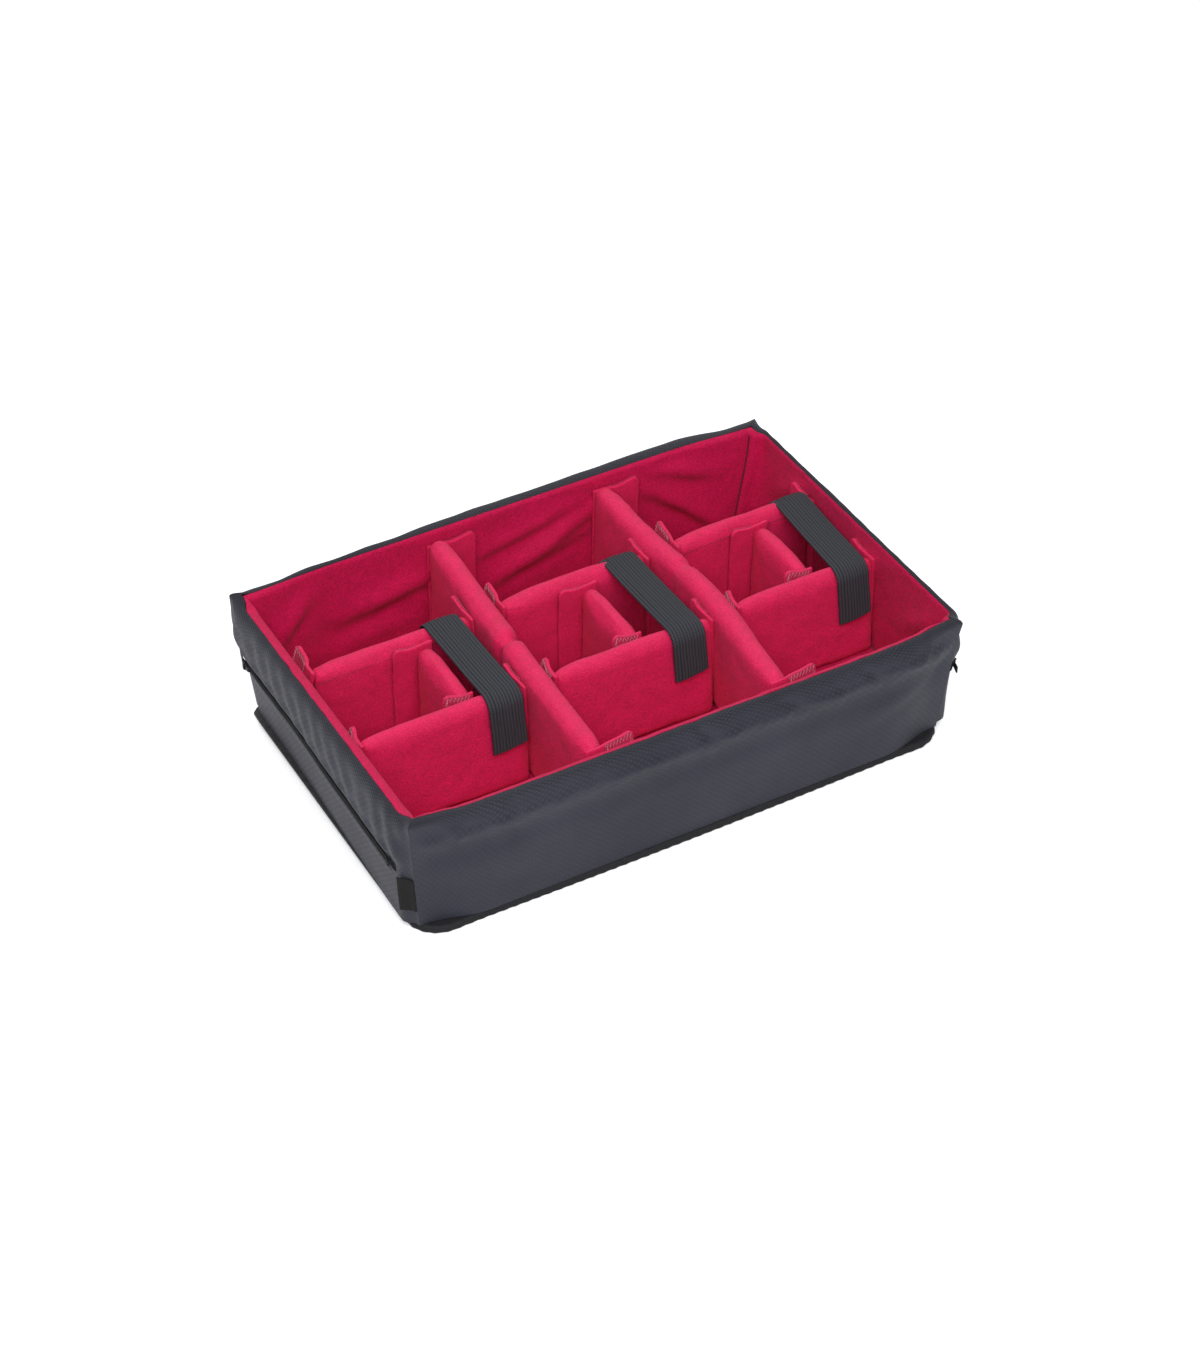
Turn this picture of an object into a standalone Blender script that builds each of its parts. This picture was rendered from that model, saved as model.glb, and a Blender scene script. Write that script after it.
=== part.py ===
"""Padded divider insert: an open fabric tray with movable padded dividers.

Metres, +Z up. X runs along the long side, Y towards the back.
The origin is on the floor, under the middle of the base.
"""

import math

import bmesh
import bpy
from mathutils import Vector

# Running gap between neighbouring pieces
GAP = 0.0003
# How far a cutter reaches past what it cuts
OVERRUN = 0.001

# Base under the tray
BASE_LENGTH = 0.410
BASE_WIDTH = 0.274
BASE_CORNER_RADIUS = 0.026
BASE_THICKNESS = 0.006
BASE_BOW = 0.002
BINDING_WIDTH = 0.0032
BINDING_ROUND = 0.0014

# Tray walls, measured from the straight inner faces outwards
CAVITY_LENGTH = 0.398
CAVITY_WIDTH = 0.250
RIM_WALL = 0.009
RIM_HEIGHT = 0.1024
FRONT_SAG = 0.0034
RIGHT_SAG = 0.0025
BACK_SAG = 0.0005
SKIN_INSET = 0.0080
LINING_INSET = 0.0040
FRONT_ROLL = 0.014
END_ROLL = 0.011
BACK_ROLL = 0.0065
CORNER_ROLL = 0.004
INNER_ROLL = 0.005
FRONT_BELLY = 0.004
LEFT_BELLY = 0.004
RIGHT_BELLY = 0.006
BACK_BELLY = 0.0095
FRONT_FOOT = 0.001
RIGHT_FOOT = 0.003
BACK_FOOT = 0.003
BACK_GIVE = 0.006
RIGHT_GIVE = 0.006
FRONT_FLAT_SHARE = 0.72
BACK_FLAT_SHARE = 0.66
END_FLAT_SHARE = 0.86
CREST_SHARE = 0.50
CORNER_SEAM_SHARE = 0.34
NEAR_SEAM_SHARE = 0.38
FAR_SEAM_SHARE = 0.16
STATION_SHARES = (-1.0, -0.965, -0.93, -0.88, -0.80, -0.70, 0.0, 0.70, 0.80, 0.88, 0.93, 0.965)

# Layers of the walls and the floor
SKIN = 0.0008
WALL_BOARD = 0.0012
LINING = 0.0010
BASE_BOARD = 0.0020
FLOOR_PAD = 0.0018
BOARD_REACH_SHARE = 0.80
BOARD_EASE = 0.0005

# Dividers
DIVIDER_THICKNESS = 0.011
DIVIDER_CROWN = 0.0055
DIVIDER_END_ROUND = 0.005
DIVIDER_END_DROP = 0.0012
FLEECE = 0.0012
CREASE_WIDTH = 0.007
CREASE_DIP = 0.003
CREASE_FULL_SHARE = 0.55
END_FULL_SHARES = (0.45, 0.82)
END_STEP_SHARE = 0.35
LONG_DIVIDER_TOP = 0.093
CROSS_DIVIDER_TOP = 0.086
SHORT_DIVIDER_TOP = 0.083

# Hook tabs on the ends of the dividers
TAB_REACH = 0.026
TAB_THICKNESS = 0.0022
TAB_EAR = 0.0025
SHORT_TAB_EAR = 0.0012
TAB_CORNER = 0.005
TAB_SEAM = 0.0005

# Where the dividers stand, as shares of the space they divide
LONG_PLACE_SHARES = {"left": 0.349, "right": 0.692}
CREASE_PLACE_SHARES = {"left": 0.54, "right": 0.588}
REAR_PLACE_SHARE = 0.694
FRONT_PLACE_SHARE = 0.384
SHORT_PLACE_SHARES = {"left": 0.670, "middle": 0.590, "right": 0.619}

# Elastic straps over each pair of cross dividers
STRAP_WIDTH = 0.025
STRAP_THICKNESS = 0.0015
STRAP_DROPS = {"left": 0.040, "middle": 0.035, "right": 0.040}
ANCHOR_DROP = 0.038
HOOK_WIDTH = 0.021
HOOK_HEIGHT = 0.028
HOOK_THICKNESS = 0.0010
HOOK_MARGIN = 0.002
STRAP_REAR_SHARES = {"left": 0.824, "middle": 0.837, "right": 0.873}
STRAP_FRONT_SHARES = {"left": 0.846, "middle": 0.868, "right": 0.845}

# Zips along the two ends, and the label beside the near corner
ZIP_HEIGHT = 0.055
ZIP_WIDTH = 0.0045
ZIP_THICKNESS = 0.0012
ZIP_REACH_SHARE = 0.86
SLIDER_LENGTH = 0.010
SLIDER_WIDTH = 0.007
SLIDER_THICKNESS = 0.0014
BAIL_LENGTH = 0.0066
BAIL_WIDTH = 0.0024
BAIL_THICKNESS = 0.0010
BAIL_FOOT = 0.0012
PULL_LENGTH = 0.018
PULL_WIDTH = 0.0056
PULL_THICKNESS = 0.0010
PULL_END_BAR = 0.0011
PULL_EYE_LENGTH = 0.0042
PULL_EYE_WIDTH = 0.0034
LABEL_WIDTH = 0.0145
LABEL_EDGE = 0.001
LABEL_LOW = 0.020
LABEL_HIGH = 0.050
LABEL_THICKNESS = 0.0009

# Heights that follow from the layers
TRAY_BOTTOM = BASE_THICKNESS + GAP
BOARD_TOP = TRAY_BOTTOM + BASE_BOARD
WALL_BOTTOM = BOARD_TOP + GAP
FLOOR_PAD_TOP = WALL_BOTTOM + FLOOR_PAD
FLOOR_TOP = FLOOR_PAD_TOP + GAP + LINING
DIVIDER_BOTTOM = FLOOR_TOP + GAP

# Places that follow from the cavity
HALF_CAVITY_LENGTH = CAVITY_LENGTH / 2
HALF_CAVITY_WIDTH = CAVITY_WIDTH / 2
HALF_DIVIDER = DIVIDER_THICKNESS / 2
SLIDER_PLACE = ZIP_REACH_SHARE * HALF_CAVITY_WIDTH + SLIDER_LENGTH / 2
END_ALLOWANCE = GAP + TAB_THICKNESS - TAB_SEAM
REAR_Y = (REAR_PLACE_SHARE - 0.5) * CAVITY_WIDTH
FRONT_Y = (FRONT_PLACE_SHARE - 0.5) * CAVITY_WIDTH
LONG_X = {side: (share - 0.5) * CAVITY_LENGTH for side, share in LONG_PLACE_SHARES.items()}
BAYS = {
    "left": (-HALF_CAVITY_LENGTH, LONG_X["left"] - HALF_DIVIDER),
    "middle": (LONG_X["left"] + HALF_DIVIDER, LONG_X["right"] - HALF_DIVIDER),
    "right": (LONG_X["right"] + HALF_DIVIDER, HALF_CAVITY_LENGTH + RIGHT_GIVE),
}

# Each side's direction and outward normal, its half sizes, and how it bows
SIDES = {
    "front": {"direction": Vector((1, 0)), "normal": Vector((0, -1)),
              "along": HALF_CAVITY_LENGTH, "across": HALF_CAVITY_WIDTH,
              "belly": FRONT_BELLY, "foot": FRONT_FOOT, "give": 0.0, "sag": FRONT_SAG,
              "roll": FRONT_ROLL, "flat_share": FRONT_FLAT_SHARE, "seam_share": NEAR_SEAM_SHARE},
    "right": {"direction": Vector((0, 1)), "normal": Vector((1, 0)),
              "along": HALF_CAVITY_WIDTH, "across": HALF_CAVITY_LENGTH,
              "belly": RIGHT_BELLY, "foot": RIGHT_FOOT, "give": RIGHT_GIVE, "sag": RIGHT_SAG,
              "roll": END_ROLL, "flat_share": END_FLAT_SHARE, "seam_share": FAR_SEAM_SHARE},
    "back": {"direction": Vector((-1, 0)), "normal": Vector((0, 1)),
             "along": HALF_CAVITY_LENGTH, "across": HALF_CAVITY_WIDTH,
             "belly": BACK_BELLY, "foot": BACK_FOOT, "give": BACK_GIVE, "sag": BACK_SAG,
             "roll": BACK_ROLL, "flat_share": BACK_FLAT_SHARE, "seam_share": FAR_SEAM_SHARE},
    "left": {"direction": Vector((0, -1)), "normal": Vector((-1, 0)),
             "along": HALF_CAVITY_WIDTH, "across": HALF_CAVITY_LENGTH,
             "belly": LEFT_BELLY, "foot": 0.0, "give": 0.0, "sag": FRONT_SAG,
             "roll": END_ROLL, "flat_share": END_FLAT_SHARE, "seam_share": NEAR_SEAM_SHARE},
}

COLOURS = {
    "ripstop": ((0.055, 0.055, 0.070), 0.45, 0.0),
    "base_fabric": ((0.012, 0.012, 0.014), 0.85, 0.0),
    "red_fleece": ((0.72, 0.015, 0.075), 0.95, 0.0),
    "foam": ((0.20, 0.20, 0.21), 0.90, 0.0),
    "board": ((0.03, 0.03, 0.03), 0.50, 0.0),
    "elastic": ((0.035, 0.040, 0.045), 0.80, 0.0),
    "hook_tape": ((0.02, 0.02, 0.022), 0.80, 0.0),
    "zip_coil": ((0.01, 0.01, 0.012), 0.50, 0.0),
    "zip_metal": ((0.03, 0.03, 0.032), 0.35, 0.8),
    "woven_label": ((0.008, 0.008, 0.009), 0.70, 0.0),
}


def clear_scene():
    for obj in list(bpy.data.objects):
        bpy.data.objects.remove(obj, do_unlink=True)


def get_material(name):
    """A Principled material with the colour, roughness and metallic value of its finish."""
    material = bpy.data.materials.get(name)
    if material is None:
        colour, roughness, metallic = COLOURS[name]
        material = bpy.data.materials.new(name)
        material.use_nodes = True
        shader = material.node_tree.nodes["Principled BSDF"]
        shader.inputs["Base Color"].default_value = (*colour, 1.0)
        shader.inputs["Roughness"].default_value = roughness
        shader.inputs["Metallic"].default_value = metallic
        material.diffuse_color = (*colour, 1.0)
    return material


def add_frame(name, place, parent=None):
    """An empty on a joint's axis, which carries the pieces that move with it."""
    frame = bpy.data.objects.new(name, None)
    bpy.context.collection.objects.link(frame)
    frame["place"] = tuple(place)
    frame.location = Vector(place)
    if parent is not None:
        frame.parent = parent
        frame.location = Vector(place) - Vector(parent["place"])
    return frame


def add_piece(name, mesh_data, frame, finish, smooth=True):
    """Turn a bmesh in the part's own coordinates into a named object under its frame."""
    bmesh.ops.recalc_face_normals(mesh_data, faces=mesh_data.faces)
    bmesh.ops.translate(mesh_data, verts=mesh_data.verts, vec=-Vector(frame["place"]))
    mesh = bpy.data.meshes.new(name)
    mesh_data.to_mesh(mesh)
    mesh_data.free()
    mesh.materials.append(get_material(finish))
    if smooth:
        mesh.shade_smooth()
        mesh.set_sharp_from_angle(angle=math.radians(35))
    piece = bpy.data.objects.new(name, mesh)
    bpy.context.collection.objects.link(piece)
    piece.parent = frame
    return piece


def combine(piece, other, operation):
    """Join another mesh to a piece, or cut it out, and leave the other as a hidden guide."""
    other.hide_render = True
    other.display_type = 'WIRE'
    change = piece.modifiers.new(other.name, 'BOOLEAN')
    change.operation = operation
    change.solver = 'EXACT'
    change.object = other


def add_ring(mesh_data, points):
    return [mesh_data.verts.new(point) for point in points]


def bridge_rings(mesh_data, first, second):
    count = len(first)
    for index in range(count):
        following = (index + 1) % count
        mesh_data.faces.new((first[index], first[following], second[following], second[index]))


def close_pairs(mesh_data, ring):
    """Close a long narrow ring with a row of quads from one side to the other."""
    half = len(ring) // 2
    for index in range(half - 1):
        mesh_data.faces.new((ring[index], ring[index + 1], ring[-2 - index], ring[-1 - index]))


def loft(mesh_data, sections, closed=False, ends="faces"):
    """Skin a row of sections, each a loop of points, as one closed body."""
    rings = [add_ring(mesh_data, section) for section in sections]
    for first, second in zip(rings, rings[1:]):
        bridge_rings(mesh_data, first, second)
    if closed:
        bridge_rings(mesh_data, rings[-1], rings[0])
    elif ends == "faces":
        mesh_data.faces.new(rings[0])
        mesh_data.faces.new(rings[-1])
    else:
        close_pairs(mesh_data, rings[0])
        close_pairs(mesh_data, rings[-1])


def swelling(side, place_share):
    """How far a wall has swelled there: 1 along its middle, 0 at its corners."""
    flat_share = SIDES[side]["flat_share"]
    past = (abs(place_share) - flat_share) / (1 - flat_share)
    past = min(max(past, 0.0), 1.0)
    return 0.5 + 0.5 * math.cos(math.pi * past)


def down_share(height):
    share = (RIM_HEIGHT - height) / (RIM_HEIGHT - TRAY_BOTTOM)
    return min(max(share, 0.0), 1.0)


def outer_distance(side, place_share, height):
    """From the straight inner face out to the outside of the skin."""
    swell = swelling(side, place_share)
    down = down_share(height)
    at_corner = -SKIN_INSET * down
    in_middle = SIDES[side]["belly"] + (SIDES[side]["foot"] - SIDES[side]["belly"]) * down
    return RIM_WALL + (1 - swell) * at_corner + swell * in_middle


def inner_distance(side, place_share, height):
    """From the straight inner face out to the face of the lining."""
    swell = swelling(side, place_share)
    inset = (1 - swell) * LINING_INSET * down_share(height)
    return swell * SIDES[side]["give"] - inset


def crest(side, place_share):
    """The distance and the height of the rim's crest, and the swelling there."""
    swell = swelling(side, place_share)
    height = RIM_HEIGHT - SIDES[side]["sag"] * (1 - (1 - swell) ** 2)
    inner = inner_distance(side, place_share, RIM_HEIGHT)
    outer = outer_distance(side, place_share, RIM_HEIGHT)
    return inner + CREST_SHARE * (outer - inner), height, swell


def seam_turn(side, place_share):
    """How far up the inner roll the lining meets the skin, as an angle."""
    swell = swelling(side, place_share)
    seam_share = CORNER_SEAM_SHARE + (SIDES[side]["seam_share"] - CORNER_SEAM_SHARE) * swell
    return math.acos(1 - seam_share / CREST_SHARE)


def outer_profile(side, place_share, depth, low):
    """Points up the outside of a wall and over its roll to the crest, that deep below the skin."""
    crest_at, top, swell = crest(side, place_share)
    roll = CORNER_ROLL + (SIDES[side]["roll"] - CORNER_ROLL) * swell
    shoulder = top - roll
    reach = outer_distance(side, place_share, shoulder) - crest_at - depth
    points = [(outer_distance(side, place_share, height) - depth, height)
              for height in (low, (low + shoulder) / 2, shoulder)]
    for degrees in (30, 60, 90):
        turn = math.radians(degrees)
        points.append((crest_at + reach * math.cos(turn), shoulder + (roll - depth) * math.sin(turn)))
    return points


def inner_roll(side, place_share, depth, turns):
    """Points on the roll from the inner face up to the crest, that deep below its surface."""
    crest_at, top, swell = crest(side, place_share)
    shoulder = top - INNER_ROLL
    reach = crest_at - inner_distance(side, place_share, shoulder) - depth
    return [(crest_at - reach * math.cos(turn), shoulder + (INNER_ROLL - depth) * math.sin(turn))
            for turn in turns]


def wall_point(side, place_share, distance, height):
    along = SIDES[side]["direction"] * (place_share * (SIDES[side]["along"] + distance))
    across = SIDES[side]["normal"] * (SIDES[side]["across"] + distance)
    return Vector((along.x + across.x, along.y + across.y, height))


def wall_section(side, place_share, profile):
    return [wall_point(side, place_share, distance, height) for distance, height in profile]


def wall_loop():
    """Every station once round the tray, front, right, back and left."""
    return [(side, share) for side in SIDES for share in STATION_SHARES]


def tray_outline(height, distance_of):
    """The plan of the walls at one height, at the distance that a function gives."""
    return [wall_point(side, share, distance_of(side, share, height), height)
            for side, share in wall_loop()]


def make_slab(name, low, high, outline_low, outline_high, frame, finish):
    slab = bmesh.new()
    bottom = [Vector((point.x, point.y, low)) for point in outline_low]
    top = [Vector((point.x, point.y, high)) for point in outline_high]
    loft(slab, [bottom, top])
    return add_piece(name, slab, frame, finish)


def base_outline(inset, height):
    """The base's rounded plan, drawn in by an inset, its long edges bowed slightly outwards."""
    half_length = BASE_LENGTH / 2 - inset
    half_width = BASE_WIDTH / 2 - BASE_BOW - inset
    radius = BASE_CORNER_RADIUS - inset
    points = []
    for quarter, (sign_x, sign_y) in enumerate(((1, -1), (1, 1), (-1, 1), (-1, -1))):
        centre_x = sign_x * (half_length - radius)
        centre_y = sign_y * (half_width - radius)
        for step in range(6):
            turn = math.radians(90 * (quarter - 1) + 18 * step)
            points.append((centre_x + radius * math.cos(turn), centre_y + radius * math.sin(turn)))
        if sign_x == sign_y:
            sign = sign_y
            straight = half_length - radius
            for share in (0.6, 0.0, -0.6):
                points.append((sign * straight * share, sign * half_width))
    bowed = []
    for x, y in points:
        lift = math.cos(math.pi / 2 * min(abs(x) / half_length, 1.0))
        bowed.append(Vector((x, y + math.copysign(BASE_BOW * lift, y), height)))
    return bowed


def make_base(tray):
    panel_inset = BINDING_WIDTH + GAP
    outline = base_outline(panel_inset, 0.0)
    make_slab("base_panel", 0.0, BASE_THICKNESS, outline, outline, tray, "base_fabric")

    binding = bmesh.new()
    middle = BINDING_WIDTH / 2
    section = (
        (BINDING_WIDTH, 0.0),
        (BINDING_ROUND, 0.0),
        (0.0, BINDING_ROUND),
        (0.0, BASE_THICKNESS - BINDING_ROUND),
        (middle, BASE_THICKNESS),
        (BINDING_WIDTH, BASE_THICKNESS - BINDING_ROUND),
    )
    rows = [base_outline(inset, height) for inset, height in section]
    sections = [[row[index] for row in rows] for index in range(len(rows[0]))]
    loft(binding, sections, closed=True)
    add_piece("base_binding", binding, tray, "base_fabric")


def make_floor(tray):
    def inside_skin(side, share, height):
        return outer_distance(side, share, height) - SKIN - GAP

    def inside_lining(side, share, height):
        return inner_distance(side, share, height) - GAP

    board_low = tray_outline(TRAY_BOTTOM, inside_skin)
    board_high = tray_outline(BOARD_TOP, inside_skin)
    make_slab("base_board", TRAY_BOTTOM, BOARD_TOP, board_low, board_high, tray, "board")
    outline = tray_outline(WALL_BOTTOM, inside_lining)
    make_slab("floor_pad", WALL_BOTTOM, FLOOR_PAD_TOP, outline, outline, tray, "foam")
    make_slab("floor_lining", FLOOR_PAD_TOP + GAP, FLOOR_TOP, outline, outline, tray, "red_fleece")


def make_skin_and_lining(tray):
    """The skin goes up the outside and over the rim, and meets the lining on the inner roll."""
    quarter = math.pi / 2
    skin_sections = []
    lining_sections = []
    for side, share in wall_loop():
        seam = seam_turn(side, share)
        part_turn = GAP / RIM_WALL
        skin_turns = ((quarter + seam) / 2, seam + part_turn)
        lining_turns = (0.0, seam / 2, seam - part_turn)
        outside = outer_profile(side, share, 0.0, TRAY_BOTTOM) + inner_roll(side, share, 0.0, skin_turns)
        inside = outer_profile(side, share, SKIN, TRAY_BOTTOM) + inner_roll(side, share, SKIN, skin_turns)
        skin_sections.append(wall_section(side, share, outside + inside[::-1]))
        foot = inner_distance(side, share, WALL_BOTTOM)
        face = [(foot, WALL_BOTTOM)] + inner_roll(side, share, 0.0, lining_turns)
        backing = [(foot + LINING, WALL_BOTTOM)] + inner_roll(side, share, LINING, lining_turns)
        lining_sections.append(wall_section(side, share, face + backing[::-1]))
    skin = bmesh.new()
    loft(skin, skin_sections, closed=True)
    add_piece("outer_skin", skin, tray, "ripstop")
    lining = bmesh.new()
    loft(lining, lining_sections, closed=True)
    add_piece("wall_lining", lining, tray, "red_fleece")


def make_wall_fillings(tray):
    """The foam pad of each wall and the stiff board between it and the skin."""
    board_depth = SKIN + GAP
    pad_depth = board_depth + WALL_BOARD + BOARD_EASE
    board_top = RIM_HEIGHT - FRONT_SAG - FRONT_ROLL - GAP
    lining_depth = LINING + GAP
    quarter = math.pi / 2
    for side in SIDES:
        end_share = 1 - GAP / SIDES[side]["along"]
        pad = bmesh.new()
        shares = (-end_share, *STATION_SHARES[1:], end_share)
        sections = []
        for share in shares:
            outside = outer_profile(side, share, pad_depth, WALL_BOTTOM)
            foot = inner_distance(side, share, WALL_BOTTOM) + lining_depth
            inside = inner_roll(side, share, lining_depth, (quarter / 2, 0.0)) + [(foot, WALL_BOTTOM)]
            sections.append(wall_section(side, share, outside + inside))
        loft(pad, sections)
        add_piece(side + "_wall_pad", pad, tray, "foam")

        board = bmesh.new()
        sections = []
        for share in STATION_SHARES:
            if abs(share) > BOARD_REACH_SHARE:
                continue
            profile = []
            for depth, height in ((board_depth, WALL_BOTTOM), (board_depth, board_top),
                                  (board_depth + WALL_BOARD, board_top),
                                  (board_depth + WALL_BOARD, WALL_BOTTOM)):
                profile.append((outer_distance(side, share, height) - depth, height))
            sections.append(wall_section(side, share, profile))
        loft(board, sections)
        add_piece(side + "_wall_board", board, tray, "board")


def make_wall_strip(name, side, start, end, low, high, thickness, frame, finish):
    """A thin strip that lies on the outside of a wall and follows its swelling."""
    strip = bmesh.new()
    sections = []
    shares = [start] + [share for share in STATION_SHARES if start < share < end] + [end]
    for share in shares:
        profile = []
        for lift, height in ((GAP, low), (GAP, high), (GAP + thickness, high), (GAP + thickness, low)):
            profile.append((outer_distance(side, share, height) + lift, height))
        sections.append(wall_section(side, share, profile))
    loft(strip, sections)
    return add_piece(name, strip, frame, finish)


def make_box(corner_a, corner_b):
    """A box between two opposite corners, in a bmesh."""
    box = bmesh.new()
    bmesh.ops.create_cube(box, size=1.0)
    size = [abs(a - b) for a, b in zip(corner_a, corner_b)]
    middle = (Vector(corner_a) + Vector(corner_b)) / 2
    bmesh.ops.scale(box, verts=box.verts, vec=size)
    bmesh.ops.translate(box, verts=box.verts, vec=middle)
    return box


def cut_window(piece, name, corner_a, corner_b, frame):
    """Cut a square hole between two opposite corners out of a piece."""
    cutter = add_piece(name, make_box(corner_a, corner_b), frame, "foam", smooth=False)
    combine(piece, cutter, 'DIFFERENCE')


def make_zip(side, tray):
    """The coil along one end wall, its slider, and the pull that swings in the slider's bail."""
    out = 1 if side == "right" else -1
    ahead = -out
    low = ZIP_HEIGHT - ZIP_WIDTH / 2
    high = ZIP_HEIGHT + ZIP_WIDTH / 2
    make_wall_strip(side + "_zip_coil", side, -ZIP_REACH_SHARE, ZIP_REACH_SHARE, low, high,
                    ZIP_THICKNESS, tray, "zip_coil")

    wall_face = HALF_CAVITY_LENGTH + outer_distance(side, 0.0, high)
    body_low = wall_face + GAP + ZIP_THICKNESS + GAP
    body_high = body_low + SLIDER_THICKNESS
    window = GAP + PULL_THICKNESS + GAP
    bail_high = body_high + window + BAIL_THICKNESS
    middle_y = ahead * SLIDER_PLACE
    slider_frame = add_frame(side + "_zip_slide", (out * body_low, middle_y, ZIP_HEIGHT), tray)

    half_length = SLIDER_LENGTH / 2
    half_width = SLIDER_WIDTH / 2
    half_bail = BAIL_LENGTH / 2
    half_window = half_bail - BAIL_FOOT
    body = make_box((out * body_low, middle_y - half_length, ZIP_HEIGHT - half_width),
                    (out * body_high, middle_y + half_length, ZIP_HEIGHT + half_width))
    slider_piece = add_piece(side + "_zip_slider", body, slider_frame, "zip_metal", smooth=False)
    rooted = body_low + SLIDER_THICKNESS / 2
    bail = make_box((out * rooted, middle_y - half_bail, ZIP_HEIGHT - BAIL_WIDTH / 2),
                    (out * bail_high, middle_y + half_bail, ZIP_HEIGHT + BAIL_WIDTH / 2))
    bail_piece = add_piece(side + "_zip_bail", bail, slider_frame, "zip_metal", smooth=False)
    combine(slider_piece, bail_piece, 'UNION')
    corner_a = (out * body_high, middle_y - half_window, ZIP_HEIGHT - half_width - OVERRUN)
    corner_b = (out * (body_high + window), middle_y + half_window, ZIP_HEIGHT + half_width + OVERRUN)
    cut_window(slider_piece, side + "_bail_cutter", corner_a, corner_b, slider_frame)

    pull_low = body_high + GAP
    pull_high = pull_low + PULL_THICKNESS
    pivot_x = out * (pull_low + pull_high) / 2
    pull_frame = add_frame(side + "_zip_pull_pivot", (pivot_x, middle_y, ZIP_HEIGHT), slider_frame)
    start = -PULL_END_BAR / 2
    end = start + PULL_LENGTH
    outline = []
    half_pull = PULL_WIDTH / 2
    for y, z in ((start, -half_pull + PULL_END_BAR), (start + PULL_END_BAR, -half_pull),
                 (end - PULL_END_BAR, -half_pull), (end, -half_pull + PULL_END_BAR),
                 (end, half_pull - PULL_END_BAR), (end - PULL_END_BAR, half_pull),
                 (start + PULL_END_BAR, half_pull), (start, half_pull - PULL_END_BAR)):
        outline.append((middle_y + ahead * y, ZIP_HEIGHT + z))
    pull = bmesh.new()
    loft(pull, [[Vector((out * x, y, z)) for y, z in outline] for x in (pull_low, pull_high)])
    pull_piece = add_piece(side + "_zip_pull", pull, pull_frame, "zip_metal", smooth=False)
    eye_start = start + PULL_END_BAR
    corner_a = (out * (pull_low - OVERRUN), middle_y + ahead * eye_start, ZIP_HEIGHT - PULL_EYE_WIDTH / 2)
    corner_b = (out * (pull_high + OVERRUN), middle_y + ahead * (eye_start + PULL_EYE_LENGTH),
                ZIP_HEIGHT + PULL_EYE_WIDTH / 2)
    cut_window(pull_piece, side + "_eye_cutter", corner_a, corner_b, pull_frame)


def make_label(tray):
    """The folded tab sewn beside the near corner of the left end."""
    end_share = 1 - LABEL_EDGE / HALF_CAVITY_WIDTH
    start_share = end_share - LABEL_WIDTH / HALF_CAVITY_WIDTH
    make_wall_strip("label_tab", "left", start_share, end_share, LABEL_LOW, LABEL_HIGH,
                    LABEL_THICKNESS, tray, "woven_label")


def panel_stations(length, inset, crease_at=None):
    """Places along a divider with how full it is there and how far its top drops."""
    half = length / 2 - inset
    end_round = DIVIDER_END_ROUND - inset
    first_full, second_full = END_FULL_SHARES
    ends = [
        (half, first_full, DIVIDER_END_DROP),
        (half - END_STEP_SHARE * end_round, second_full, DIVIDER_END_DROP / 2),
        (half - end_round, 1.0, 0.0),
    ]
    if crease_at is None:
        middle = []
    else:
        middle = [
            (crease_at - CREASE_WIDTH, 1.0, 0.0),
            (crease_at, CREASE_FULL_SHARE, CREASE_DIP),
            (crease_at + CREASE_WIDTH, 1.0, 0.0),
        ]
    start = [(-place, full, drop) for place, full, drop in ends]
    return start + middle + ends[::-1]


def panel_ring(stations, half, height, drop_share, to_world):
    """One level loop round a divider."""
    one_side = [(place, full * half, height - drop * drop_share) for place, full, drop in stations]
    loop = one_side + [(place, -across, level) for place, across, level in one_side[::-1]]
    return [to_world(*point) for point in loop]


def panel_rings(stations, inset, bottom, top, to_world, turns):
    """Level loops from a divider's bottom edge up over its rounded top."""
    half = HALF_DIVIDER - inset
    crown = DIVIDER_CROWN - inset
    shoulder = top - DIVIDER_CROWN
    rings = [panel_ring(stations, half, bottom, 0.0, to_world)]
    for degrees in turns:
        turn = math.radians(degrees)
        rings.append(panel_ring(stations, half * math.cos(turn), shoulder + crown * math.sin(turn),
                                1.0, to_world))
    return rings


def divider_axes(centre, along_y):
    """Places on a divider, along, across and up, turned into the part's coordinates."""
    def to_world(along, across, height):
        if along_y:
            return Vector((centre[0] - across, centre[1] + along, height))
        return Vector((centre[0] + along, centre[1] + across, height))
    return to_world


def make_cover(name, centre, length, top, along_y, frame, tabs, crease_at=None):
    """A fleece sleeve, rounded along its top and ends and open along its lower edge.

    Its hook tabs are sewn to its ends, so they are one piece with it.
    """
    to_world = divider_axes(centre, along_y)
    outer = panel_rings(panel_stations(length, 0.0, crease_at), 0.0, DIVIDER_BOTTOM, top,
                        to_world, (0, 35, 65, 82))
    inner = panel_rings(panel_stations(length, FLEECE, crease_at), FLEECE, DIVIDER_BOTTOM, top,
                        to_world, (0, 45, 80))
    cover = bmesh.new()
    loft(cover, inner[::-1] + outer, ends="pairs")
    cover_piece = add_piece(name, cover, frame, "red_fleece")
    for place, (start, direction, normal, tab_top) in tabs.items():
        tab = add_piece(name + "_" + place + "_tab", tab_plate(start, direction, normal, tab_top),
                        frame, "red_fleece", smooth=False)
        combine(cover_piece, tab, 'UNION')


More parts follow.
